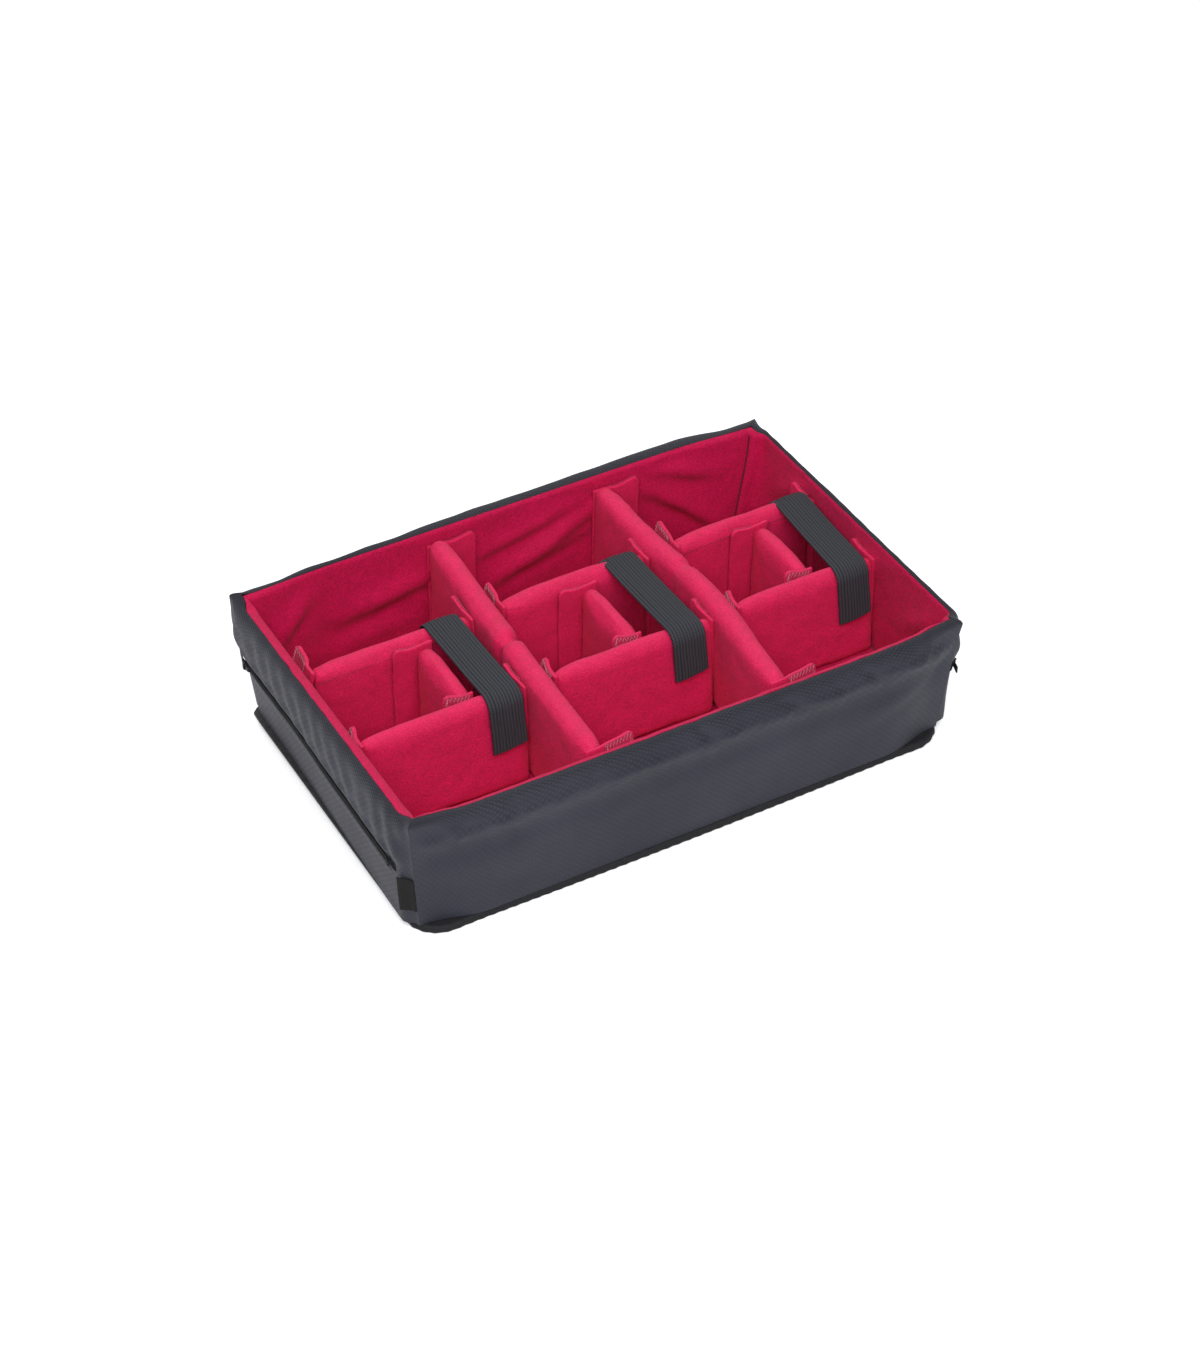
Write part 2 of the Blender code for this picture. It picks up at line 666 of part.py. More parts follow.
def make_core(name, centre, start, end, top, along_y, frame):
    """A foam board that fills a stretch of a divider's sleeve."""
    to_world = divider_axes(centre, along_y)
    inset = FLEECE + GAP
    end_round = DIVIDER_END_ROUND - inset
    first_full, second_full = END_FULL_SHARES
    stations = [
        (start, first_full, DIVIDER_END_DROP),
        (start + END_STEP_SHARE * end_round, second_full, DIVIDER_END_DROP / 2),
        (start + end_round, 1.0, 0.0),
        (end - end_round, 1.0, 0.0),
        (end - END_STEP_SHARE * end_round, second_full, DIVIDER_END_DROP / 2),
        (end, first_full, DIVIDER_END_DROP),
    ]
    core = bmesh.new()
    rings = panel_rings(stations, inset, DIVIDER_BOTTOM, top, to_world, (0, 45, 80))
    loft(core, rings, ends="pairs")
    add_piece(name, core, frame, "foam")


def tab_plate(start, direction, normal, top):
    """A flat tab that stands on its lower edge, its upper corners rounded."""
    reach = DIVIDER_THICKNESS + TAB_REACH
    outline = [(0.0, DIVIDER_BOTTOM), (reach, DIVIDER_BOTTOM)]
    for centre, first in ((reach - TAB_CORNER, 0), (TAB_CORNER, 90)):
        for degrees in (0, 45, 90):
            turn = math.radians(first + degrees)
            outline.append((centre + TAB_CORNER * math.cos(turn),
                            top - TAB_CORNER + TAB_CORNER * math.sin(turn)))
    rings = []
    for depth in (0.0, TAB_THICKNESS):
        rings.append([Vector((start[0] + direction[0] * along + normal[0] * depth,
                              start[1] + direction[1] * along + normal[1] * depth, height))
                      for along, height in outline])
    plate = bmesh.new()
    loft(plate, rings)
    return plate


def make_long_divider(side, tray):
    """A front-to-back divider with a stitched fold and a hook tab at each end."""
    name = side + "_long_divider"
    back_face = HALF_CAVITY_WIDTH + BACK_GIVE
    front_end = -HALF_CAVITY_WIDTH + END_ALLOWANCE
    back_end = back_face - END_ALLOWANCE
    length = back_end - front_end
    centre = (LONG_X[side], (front_end + back_end) / 2)
    crease_y = (CREASE_PLACE_SHARES[side] - 0.5) * CAVITY_WIDTH
    crease_at = crease_y - centre[1]
    frame = add_frame(name + "_lift", (centre[0], centre[1], DIVIDER_BOTTOM), tray)
    left_face = centre[0] - HALF_DIVIDER
    top = LONG_DIVIDER_TOP + TAB_EAR
    tabs = {
        "front": ((left_face, -HALF_CAVITY_WIDTH + GAP), (1, 0), (0, 1), top),
        "rear": ((left_face, back_face - GAP), (1, 0), (0, -1), top),
    }
    make_cover(name + "_cover", centre, length, LONG_DIVIDER_TOP, True, frame, tabs, crease_at)
    core_end = length / 2 - FLEECE - GAP
    make_core(name + "_front_core", centre, -core_end, crease_at - CREASE_WIDTH, LONG_DIVIDER_TOP,
              True, frame)
    make_core(name + "_rear_core", centre, crease_at + CREASE_WIDTH, core_end, LONG_DIVIDER_TOP,
              True, frame)


def strap_path(start_angle, drop):
    """The strap's middle line in Y and Z, over the rear divider and down the front one."""
    half = STRAP_THICKNESS / 2
    rise = DIVIDER_CROWN + GAP + half
    shoulder = CROSS_DIVIDER_TOP - DIVIDER_CROWN
    front_reach = HALF_DIVIDER + GAP + HOOK_THICKNESS + GAP + half
    points = []
    for degrees in (start_angle, 35, 65, 90):
        turn = math.radians(degrees)
        points.append((REAR_Y + rise * math.cos(turn), shoulder + rise * math.sin(turn)))
    points.append(((REAR_Y + FRONT_Y) / 2, shoulder + rise))
    for degrees in (90, 115, 145, 180):
        turn = math.radians(degrees)
        points.append((FRONT_Y + front_reach * math.cos(turn), shoulder + rise * math.sin(turn)))
    points.append((FRONT_Y - front_reach, CROSS_DIVIDER_TOP - drop))
    return points


def add_ribbon(ribbon, path, centre_at):
    """A flat band of even thickness along a path in Y and Z."""
    sections = []
    for index, (y, z) in enumerate(path):
        before = path[max(index - 1, 0)]
        after = path[min(index + 1, len(path) - 1)]
        heading = Vector((after[0] - before[0], after[1] - before[1])).normalized()
        side = Vector((-heading.y, heading.x)) * (STRAP_THICKNESS / 2)
        middle = centre_at(y)
        left = middle - STRAP_WIDTH / 2
        right = middle + STRAP_WIDTH / 2
        sections.append([Vector((left, y + side.x, z + side.y)), Vector((right, y + side.x, z + side.y)),
                         Vector((right, y - side.x, z - side.y)), Vector((left, y - side.x, z - side.y))])
    loft(ribbon, sections)


def make_strap(bay, frame):
    """The elastic strap, its sewn end on the rear divider and the hook patch under its free end."""
    left, right = BAYS[bay]
    rear_x = left + STRAP_REAR_SHARES[bay] * (right - left)
    front_x = left + STRAP_FRONT_SHARES[bay] * (right - left)

    def centre_at(y):
        along = min(max((REAR_Y - y) / (REAR_Y - FRONT_Y), 0.0), 1.0)
        return rear_x + (front_x - rear_x) * along

    back_y = REAR_Y + DIVIDER_CROWN + GAP + STRAP_THICKNESS / 2
    shoulder = CROSS_DIVIDER_TOP - DIVIDER_CROWN
    anchor = bmesh.new()
    anchor_top = shoulder - GAP - STRAP_THICKNESS
    add_ribbon(anchor, [(back_y, anchor_top), (back_y, anchor_top - ANCHOR_DROP)], centre_at)
    add_piece(bay + "_strap_anchor", anchor, frame, "elastic", smooth=False)

    hinge = add_frame(bay + "_strap_hinge", (rear_x, back_y, shoulder - GAP / 2), frame)
    strap = bmesh.new()
    add_ribbon(strap, strap_path(0, STRAP_DROPS[bay]), centre_at)
    add_piece(bay + "_strap", strap, hinge, "elastic")

    face = FRONT_Y - HALF_DIVIDER - GAP
    low = CROSS_DIVIDER_TOP - STRAP_DROPS[bay] + HOOK_MARGIN
    hook = make_box((front_x - HOOK_WIDTH / 2, face - HOOK_THICKNESS, low),
                    (front_x + HOOK_WIDTH / 2, face, low + HOOK_HEIGHT))
    add_piece(bay + "_strap_hook", hook, hinge, "hook_tape", smooth=False)


def make_bay(bay, tray):
    """Two cross dividers that slide together, a short divider between them and their strap."""
    left, right = BAYS[bay]
    middle_x = (left + right) / 2
    length = right - left - 2 * END_ALLOWANCE
    frame = add_frame(bay + "_bay_slide", (middle_x, REAR_Y, DIVIDER_BOTTOM), tray)

    core_end = length / 2 - FLEECE - GAP
    for place, y in (("rear", REAR_Y), ("front", FRONT_Y)):
        name = bay + "_" + place + "_divider"
        front_face = y - HALF_DIVIDER
        top = CROSS_DIVIDER_TOP + TAB_EAR
        tabs = {
            "left": ((left + GAP, front_face), (0, 1), (1, 0), top),
            "right": ((right - GAP, front_face), (0, 1), (-1, 0), top),
        }
        make_cover(name + "_cover", (middle_x, y), length, CROSS_DIVIDER_TOP, False, frame, tabs)
        make_core(name + "_core", (middle_x, y), -core_end, core_end, CROSS_DIVIDER_TOP, False, frame)
    make_strap(bay, frame)
    make_short_divider(bay, frame)


def make_short_divider(bay, bay_frame):
    """The small divider that slides along between two cross dividers."""
    left, right = BAYS[bay]
    name = bay + "_short_divider"
    centre_x = left + SHORT_PLACE_SHARES[bay] * (right - left)
    front_face = FRONT_Y + HALF_DIVIDER
    rear_face = REAR_Y - HALF_DIVIDER
    length = rear_face - front_face - 2 * END_ALLOWANCE
    centre = (centre_x, (front_face + rear_face) / 2)
    frame = add_frame(name + "_slide", (centre[0], centre[1], DIVIDER_BOTTOM), bay_frame)
    right_face = centre_x + HALF_DIVIDER
    top = SHORT_DIVIDER_TOP + SHORT_TAB_EAR
    tabs = {
        "front": ((right_face, front_face + GAP), (-1, 0), (0, 1), top),
        "rear": ((right_face, rear_face - GAP), (-1, 0), (0, -1), top),
    }
    make_cover(name + "_cover", centre, length, SHORT_DIVIDER_TOP, True, frame, tabs)
    core_end = length / 2 - FLEECE - GAP
    make_core(name + "_core", centre, -core_end, core_end, SHORT_DIVIDER_TOP, True, frame)


def main():
    clear_scene()
    tray = add_frame("tray", (0, 0, 0))
    make_base(tray)
    make_floor(tray)
    make_skin_and_lining(tray)
    make_wall_fillings(tray)
    for side in ("left", "right"):
        make_zip(side, tray)
        make_long_divider(side, tray)
    make_label(tray)
    for bay in BAYS:
        make_bay(bay, tray)


main()
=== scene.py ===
import math

import bpy
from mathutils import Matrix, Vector, noise


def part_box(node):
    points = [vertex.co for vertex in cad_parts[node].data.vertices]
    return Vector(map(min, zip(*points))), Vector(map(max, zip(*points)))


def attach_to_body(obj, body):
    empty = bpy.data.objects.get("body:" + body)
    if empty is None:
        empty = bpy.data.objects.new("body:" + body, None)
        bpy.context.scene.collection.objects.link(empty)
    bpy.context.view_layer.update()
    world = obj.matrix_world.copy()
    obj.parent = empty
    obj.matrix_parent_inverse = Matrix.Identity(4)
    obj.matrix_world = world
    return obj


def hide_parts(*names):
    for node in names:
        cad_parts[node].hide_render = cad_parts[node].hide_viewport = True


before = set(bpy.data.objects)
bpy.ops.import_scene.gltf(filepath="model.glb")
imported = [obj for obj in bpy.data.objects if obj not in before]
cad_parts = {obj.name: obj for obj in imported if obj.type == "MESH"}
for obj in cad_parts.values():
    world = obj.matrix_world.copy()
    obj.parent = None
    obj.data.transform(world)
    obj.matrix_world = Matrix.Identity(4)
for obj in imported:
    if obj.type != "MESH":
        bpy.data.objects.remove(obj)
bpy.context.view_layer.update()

scene = bpy.context.scene
print("frame loaded:", len(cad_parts), "nodes")


# helpers for selecting, naming and applying, each starting from an empty selection

def setMode(mode):
    bpy.ops.object.mode_set(mode=mode)


def clearSelection():
    if bpy.context.object and bpy.context.object.mode != "OBJECT":
        setMode("OBJECT")
    bpy.ops.object.select_all(action="DESELECT")


def pick(piece):
    clearSelection()
    piece.select_set(True)
    bpy.context.view_layer.objects.active = piece


def editAll(piece):
    # leaves the piece in edit mode with everything selected
    pick(piece)
    setMode("EDIT")
    bpy.ops.mesh.select_all(action="SELECT")


def selectWhere(piece, kind, wanted):
    # leaves the piece in edit mode with only the wanted verts, edges or faces selected
    editAll(piece)
    bpy.ops.mesh.select_mode(type=kind)
    bpy.ops.mesh.select_all(action="DESELECT")
    setMode("OBJECT")
    mesh = piece.data
    if kind == "VERT":
        for vert in mesh.vertices:
            vert.select = wanted(vert.co)
    elif kind == "EDGE":
        for edge in mesh.edges:
            edge.select = wanted(*[mesh.vertices[index].co for index in edge.vertices])
    else:
        for face in mesh.polygons:
            face.select = wanted(face.center, face.normal)
    setMode("EDIT")


def nameIt(name):
    piece = bpy.context.object
    piece.name = name
    piece.data.name = name
    return piece


def applyPlace(piece):
    pick(piece)
    bpy.ops.object.transform_apply(location=True, rotation=True, scale=True)


def applyModifiers(piece):
    pick(piece)
    for modifier in list(piece.modifiers):
        bpy.ops.object.modifier_apply(modifier=modifier.name)


def facesOut(piece):
    editAll(piece)
    bpy.ops.mesh.normals_make_consistent(inside=False)
    setMode("OBJECT")


def weld(piece):
    editAll(piece)
    bpy.ops.mesh.remove_doubles(threshold=0.00002)
    setMode("OBJECT")


def thicken(piece, amount, offset):
    wall = piece.modifiers.new("thickness", "SOLIDIFY")
    wall.thickness = amount
    wall.offset = offset
    applyModifiers(piece)
    facesOut(piece)


def roundEdges(piece, width, segments):
    rounding = piece.modifiers.new("round", "BEVEL")
    rounding.width = width
    rounding.segments = segments
    applyModifiers(piece)


def giveFinish(piece, finish):
    piece.data.materials.clear()
    piece.data.materials.append(finish)


def dress(piece, finish, degrees=40):
    pick(piece)
    bpy.ops.object.shade_smooth_by_angle(angle=math.radians(degrees))
    giveFinish(piece, finish)


def attach(piece, body, slotName, *nodes):
    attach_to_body(piece, body)
    if nodes:
        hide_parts(*nodes)


# helpers for shaping cloth

def softStep(value, low, high):
    t = min(max((value - low) / (high - low), 0.0), 1.0)
    return t * t * (3 - 2 * t)


def bump(value, centre, width):
    return math.exp(-((value - centre) / width) ** 2)


def clothNoise(along, height, size, seed):
    return noise.noise(Vector((along / size, height / size, seed)))


def foldSum(folds, along, height):
    # each fold is a soft ridge with a crease under it, between two points: start, end, half width, depth
    total = 0.0
    for start, end, width, depth in folds:
        runAlong, runUp = end[0] - start[0], end[1] - start[1]
        t = ((along - start[0]) * runAlong + (height - start[1]) * runUp) / (runAlong ** 2 + runUp ** 2)
        t = min(max(t, 0.0), 1.0)
        offAlong, offUp = along - start[0] - runAlong * t, height - start[1] - runUp * t
        away = math.copysign(math.hypot(offAlong, offUp), offUp)
        if abs(away) < 3 * width:
            ridge = bump(away, 0.0, width) - 0.40 * bump(away, -1.3 * width, 0.7 * width)
            total += depth * ridge * (0.3 + 0.7 * math.sin(math.pi * t))
    return total


def makeSheet(name, columns, rows, place, uvPlace=None):
    # a grid laid out column by column and row by row; place gives each corner's spot
    clearSelection()
    bpy.ops.mesh.primitive_grid_add(x_subdivisions=columns, y_subdivisions=rows, size=1)
    piece = nameIt(name)
    grid = {}
    for vert in piece.data.vertices:
        grid[vert.index] = round((vert.co.x + 0.5) * columns), round((vert.co.y + 0.5) * rows)
        vert.co = place(*grid[vert.index])
    if uvPlace:
        layer = piece.data.uv_layers.active.data
        for loop in piece.data.loops:
            layer[loop.index].uv = uvPlace(*grid[loop.vertex_index])
    return piece


def finishSheet(piece, thickness, offset, finish, degrees=40):
    thicken(piece, thickness, offset)
    dress(piece, finish, degrees)


def makeThread(name, chains, thickness, finish):
    # sewing thread, and thin tubes of painted shade: one short spline for each stitch, each run of zigzag or
    # each shade line, then made a mesh
    curve = bpy.data.curves.new(name, "CURVE")
    curve.dimensions = "3D"
    curve.bevel_depth = thickness / 2
    curve.bevel_resolution = 1
    curve.use_fill_caps = True
    for chain in chains:
        spline = curve.splines.new("POLY")
        spline.points.add(len(chain) - 1)
        for point, spot in zip(spline.points, chain):
            point.co = (*spot, 1.0)
    piece = bpy.data.objects.new(name, curve)
    scene.collection.objects.link(piece)
    pick(piece)
    bpy.ops.object.convert(target="MESH")
    piece = nameIt(name)
    bpy.ops.object.shade_smooth()
    giveFinish(piece, finish)
    return piece


def sew(name, runs, stitch, gap, thickness, finish):
    # a row of stitches along each run of spots
    chains = []
    for run in runs:
        chain, travel, sewing = [run[0]], 0.0, True
        for first, last in zip(run[:-1], run[1:]):
            travel += (last - first).length
            if sewing:
                chain.append(last)
            if sewing and travel > stitch:
                chains.append(chain)
                sewing, travel = False, 0.0
            elif not sewing and travel > gap:
                chain, sewing, travel = [last], True, 0.0
    return makeThread(name, chains, thickness, finish)


# camera, placed and turned as the photograph's perspective gives it

camera = {"azimuth": -29.36, "elevation": 40.18, "lens": 79.0, "sensor": 36, "reach": 50,
          "place": (-0.775177, -1.385191, 1.373223)}

azimuth, elevation = math.radians(camera["azimuth"]), math.radians(camera["elevation"])
back = Vector((math.sin(azimuth) * math.cos(elevation), -math.cos(azimuth) * math.cos(elevation),
               math.sin(elevation)))
cameraData = bpy.data.cameras.new("photoCamera")
cameraData.lens = camera["lens"]
cameraData.sensor_width = camera["sensor"]
cameraData.clip_end = camera["reach"]
photoCamera = bpy.data.objects.new("photoCamera", cameraData)
scene.collection.objects.link(photoCamera)
photoCamera.location = camera["place"]
photoCamera.rotation_mode = "QUATERNION"
photoCamera.rotation_quaternion = (-back).to_track_quat("-Z", "Y")
scene.camera = photoCamera
scene.view_settings.view_transform = "Standard"


# helpers for shader nodes; each add function returns the new node's output

def feed(tree, socket, value):
    # the value is a number, a colour or another node's output
    if isinstance(value, (int, float)):
        socket.default_value = value
    elif isinstance(value, tuple):
        socket.default_value = (*value, 1.0)
    else:
        tree.links.new(value, socket)


def addNoise(tree, vector, scale, detail=2.0, roughness=0.55):
    node = tree.nodes.new("ShaderNodeTexNoise")
    node.inputs["Detail"].default_value = detail
    node.inputs["Roughness"].default_value = roughness
    feed(tree, node.inputs["Scale"], scale)
    tree.links.new(vector, node.inputs["Vector"])
    return node.outputs["Fac"]


def addMath(tree, operation, *values):
    node = tree.nodes.new("ShaderNodeMath")
    node.operation = operation
    for socket, value in zip(node.inputs, values):
        feed(tree, socket, value)
    return node.outputs[0]


def addRange(tree, value, fromLow, fromHigh, toLow=0.0, toHigh=1.0):
    node = tree.nodes.new("ShaderNodeMapRange")
    limits = {"From Min": fromLow, "From Max": fromHigh, "To Min": toLow, "To Max": toHigh}
    for socket, limit in limits.items():
        node.inputs[socket].default_value = limit
    tree.links.new(value, node.inputs["Value"])
    return node.outputs["Result"]


def addColourMix(tree, share, deep, bright):
    node = tree.nodes.new("ShaderNodeMix")
    node.data_type = "RGBA"
    for index, value in ((0, share), (6, deep), (7, bright)):
        feed(tree, node.inputs[index], value)
    return node.outputs[2]


def addSplit(tree, vector):
    node = tree.nodes.new("ShaderNodeSeparateXYZ")
    tree.links.new(vector, node.inputs[0])
    return node.outputs


def addBump(tree, shader, height, distance, strength=1.0, under=None):
    node = tree.nodes.new("ShaderNodeBump")
    node.inputs["Strength"].default_value = strength
    node.inputs["Distance"].default_value = distance
    tree.links.new(height, node.inputs["Height"])
    if under:
        tree.links.new(under, node.inputs["Normal"])
    tree.links.new(node.outputs["Normal"], shader["Normal"])
    return node.outputs["Normal"]


def coordinates(tree, kind):
    return tree.nodes.new("ShaderNodeTexCoord").outputs[kind]


# shared effects, as node groups that take a vector and plain values

def startGroup(name, outputs, **values):
    group = bpy.data.node_groups.new(name, "ShaderNodeTree")
    group.interface.new_socket(name="Vector", in_out="INPUT", socket_type="NodeSocketVector")
    for socket, value in values.items():
        made = group.interface.new_socket(name=socket.replace("_", " "), in_out="INPUT",
                                          socket_type="NodeSocketFloat")
        made.default_value = value
    for socket in outputs:
        group.interface.new_socket(name=socket, in_out="OUTPUT", socket_type="NodeSocketFloat")
    return group, group.nodes.new("NodeGroupInput").outputs, group.nodes.new("NodeGroupOutput").inputs


def placeGroup(tree, group, vector, **values):
    node = tree.nodes.new("ShaderNodeGroup")
    node.node_tree = group
    tree.links.new(vector, node.inputs["Vector"])
    for socket, value in values.items():
        node.inputs[socket.replace("_", " ")].default_value = value
    return node.outputs


# nap of brushed fleece: soft blotches, loops and fine fibres
napGroup, given, result = startGroup("fleeceNap", ("Tone", "Height"), Loop_Scale=620.0)
blotch = addNoise(napGroup, given["Vector"], 95.0, 3.0)
loops = addNoise(napGroup, given["Vector"], given["Loop Scale"], 3.0, 0.6)
fibre = addNoise(napGroup, given["Vector"], 2600.0, 1.0)
tone = addMath(napGroup, "MULTIPLY_ADD", loops, 0.82, addMath(napGroup, "MULTIPLY", blotch, 0.18))
height = addMath(napGroup, "MULTIPLY_ADD", loops, 0.75, addMath(napGroup, "MULTIPLY", fibre, 0.25))
napGroup.links.new(addRange(napGroup, tone, 0.34, 0.66), result["Tone"])
napGroup.links.new(height, result["Height"])

# crossing threads: a net of raised lines, so many to the metre, turned by an angle
netGroup, given, result = startGroup("threadNet", ("Lines", "Weave"),
                                     Per_Metre=280.0, Turn=0.785, Line_Share=0.3)
turned = netGroup.nodes.new("ShaderNodeVectorRotate")
turned.rotation_type = "Z_AXIS"
netGroup.links.new(given["Vector"], turned.inputs["Vector"])
netGroup.links.new(given["Turn"], turned.inputs["Angle"])
scaled = netGroup.nodes.new("ShaderNodeVectorMath")
scaled.operation = "SCALE"
netGroup.links.new(turned.outputs["Vector"], scaled.inputs[0])
netGroup.links.new(given["Per Metre"], scaled.inputs["Scale"])
cell = addSplit(netGroup, scaled.outputs[0])
lines, threads = [], []
for axis in ("X", "Y"):
    ramp = addMath(netGroup, "PINGPONG", cell[axis], 0.5)
    line = addMath(netGroup, "SUBTRACT", 1.0, addMath(netGroup, "DIVIDE", ramp, given["Line Share"]))
    lines.append(addMath(netGroup, "MAXIMUM", line, 0.0))
    threads.append(addMath(netGroup, "PINGPONG", addMath(netGroup, "MULTIPLY", cell[axis], 6.0), 0.5))
netGroup.links.new(addMath(netGroup, "MAXIMUM", *lines), result["Lines"])
netGroup.links.new(addMath(netGroup, "ADD", *threads), result["Weave"])


# finishes: in each, deep and bright are the two colours that its pattern mixes

def startMaterial(name, roughness, **plain):
    material = bpy.data.materials.new(name)
    material.use_nodes = True
    shader = material.node_tree.nodes["Principled BSDF"].inputs
    shader["Roughness"].default_value = roughness
    for socket, value in plain.items():
        shader[socket.replace("_", " ")].default_value = value
    return material, material.node_tree, shader


def tint(tree, shader, share, deep, bright):
    tree.links.new(addColourMix(tree, share, deep, bright), shader["Base Color"])


def makeFleece(name, deep, bright, loopScale, bumpDepth, gloss=0.36):
    material, tree, shader = startMaterial(name, 0.62, Sheen_Weight=0.10, Sheen_Roughness=0.5,
                                           Sheen_Tint=(1.0, 0.42, 0.50, 1.0), Specular_IOR_Level=gloss)
    nap = placeGroup(tree, napGroup, coordinates(tree, "Object"), Loop_Scale=loopScale)
    tint(tree, shader, nap["Tone"], deep, bright)
    addBump(tree, shader, nap["Height"], bumpDepth)
    return material


def makeWoven(name, deep, bright, roughness, gloss, perMetre, bumpDepth, strength):
    material, tree, shader = startMaterial(name, roughness, Specular_IOR_Level=gloss)
    weave = placeGroup(tree, netGroup, coordinates(tree, "Object"),
                       Per_Metre=perMetre, Turn=0.0, Line_Share=0.5)
    tint(tree, shader, weave["Lines"], deep, bright)
    addBump(tree, shader, weave["Lines"], bumpDepth, strength)
    return material


def makePlain(name, deep, bright, scale, roughness, bumpDepth, metallic=0.0):
    material, tree, shader = startMaterial(name, roughness, Metallic=metallic)
    grain = addNoise(tree, coordinates(tree, "Object"), scale, 3.0)
    tint(tree, shader, addRange(tree, grain, 0.35, 0.65), deep, bright)
    tree.links.new(addRange(tree, grain, 0.3, 0.7, roughness - 0.08, roughness + 0.08), shader["Roughness"])
    addBump(tree, shader, grain, bumpDepth, 0.6)
    return material


fleece = makeFleece("redFleece", (0.46, 0.0012, 0.050), (0.80, 0.0050, 0.100), 900.0, 0.0010)
# painted shade: the wall and floor lining take a darker, less glossy copy of the divider fleece, for the
# shade deep in the bays
shadedLiningFleece = makeFleece("shadedLiningFleece", (0.36, 0.0008, 0.038), (0.63, 0.0028, 0.080), 820.0, 0.0010, 0.18)
hookFleece = makeFleece("hookTapeRed", (0.34, 0.006, 0.050), (0.62, 0.030, 0.110), 1500.0, 0.0008)

# ripstop: the net's dark lines are painted strongest on the roll, where the cloth faces up: painted shade
# that follows the light from above
ripstop, tree, shader = startMaterial("ripstop", 0.50, Specular_IOR_Level=0.30, Sheen_Weight=0.05)
net = placeGroup(tree, netGroup, coordinates(tree, "UV"), Per_Metre=290.0, Turn=0.785, Line_Share=0.34)
wear = addNoise(tree, coordinates(tree, "Object"), 14.0, 4.0)
ground = addColourMix(tree, addRange(tree, wear, 0.35, 0.65), (0.021, 0.021, 0.034), (0.028, 0.028, 0.043))
facing = addSplit(tree, tree.nodes.new("ShaderNodeNewGeometry").outputs["Normal"])
# painted shade: the net's lines darken more the further the cloth faces up
netLinesAndTopShade = addMath(tree, "MULTIPLY", net["Lines"], addRange(tree, facing["Z"], 0.10, 0.60, 0.10, 0.90))
tint(tree, shader, netLinesAndTopShade, ground, (0.006, 0.006, 0.010))
tree.links.new(addRange(tree, net["Lines"], 0.0, 1.0, 0.50, 0.60), shader["Roughness"])
fineNormal = addBump(tree, shader, net["Weave"], 0.00012, 0.6)
addBump(tree, shader, netLinesAndTopShade, 0.00034, 0.9, fineNormal)

bindingTape, tree, shader = startMaterial("bindingTape", 0.74, Specular_IOR_Level=0.3)
grain = addNoise(tree, coordinates(tree, "Object"), 420.0, 3.0)
tint(tree, shader, grain, (0.006, 0.006, 0.007), (0.016, 0.016, 0.019))
addBump(tree, shader, grain, 0.0006, 0.7)

# ribbed elastic: ribs across the UV map's width, knit stitches along it; the grooves between the ribs are
# painted near black, as painted shade
strapRibs = 11
knitPerMetre = 620
elastic, tree, shader = startMaterial("ribbedElastic", 0.80, Specular_IOR_Level=0.10, Sheen_Weight=0.02)
ribbon = addSplit(tree, coordinates(tree, "UV"))
rib = addMath(tree, "SINE", addMath(tree, "MULTIPLY", ribbon["X"], 2 * math.pi * strapRibs))
knit = addMath(tree, "SINE", addMath(tree, "MULTIPLY", ribbon["Y"], 2 * math.pi * knitPerMetre))
# painted shade: the colour falls near black in the grooves between the ribs
ribHeightAndShade = addRange(tree, rib, -0.1, 1.0)
tint(tree, shader, ribHeightAndShade, (0.0005, 0.0005, 0.0007), (0.046, 0.048, 0.056))
addBump(tree, shader, addMath(tree, "MULTIPLY_ADD", knit, 0.22, ribHeightAndShade), 0.00050, 0.9)

baseCloth = makeWoven("blackBaseCloth", (0.006, 0.006, 0.007), (0.013, 0.013, 0.015),
                      0.78, 0.3, 700.0, 0.0003, 0.7)
webbing = makeWoven("sewnEnd", (0.009, 0.010, 0.011), (0.030, 0.033, 0.035), 0.8, 0.25, 620.0, 0.0004, 0.8)
paleThread = makePlain("paleThread", (0.62, 0.15, 0.22), (0.84, 0.32, 0.40), 1400.0, 0.6, 0.0002)
redThread = makePlain("redThread", (0.16, 0.004, 0.018), (0.30, 0.012, 0.040), 1400.0, 0.7, 0.0002)
blackThread = makePlain("blackThread", (0.006, 0.006, 0.007), (0.020, 0.020, 0.023), 1400.0, 0.6, 0.0002)
zipCoil = makePlain("zipCoil", (0.018, 0.018, 0.023), (0.032, 0.032, 0.040), 900.0, 0.5, 0.0002)
# painted shade: dark red for the line down the lining's far right corner
cornerCreaseShade = makePlain("cornerCreaseShade", (0.085, 0.0005, 0.009), (0.140, 0.0010, 0.016), 900.0, 0.9, 0.0002)
# painted shade: near black for the tubes along the zip tape's edges; also the bar tacks' own thread colour
gapShadeAndTackBlack = makePlain("gapShadeAndTackBlack", (0.0020, 0.0020, 0.0024), (0.0050, 0.0050, 0.0060), 1400.0, 0.8, 0.0002)
zipMetal = makePlain("zipMetal", (0.016, 0.016, 0.018), (0.034, 0.034, 0.037), 300.0, 0.36, 0.00008, 0.6)
labelCloth = makePlain("labelCloth", (0.0008, 0.0008, 0.0010), (0.0030, 0.0030, 0.0036), 1800.0, 0.95, 0.0003)
board = makePlain("stiffBoard", (0.020, 0.020, 0.021), (0.036, 0.036, 0.038), 240.0, 0.6, 0.0002)
print("finishes made")


# the tray's walls: one profile for every place round the rim

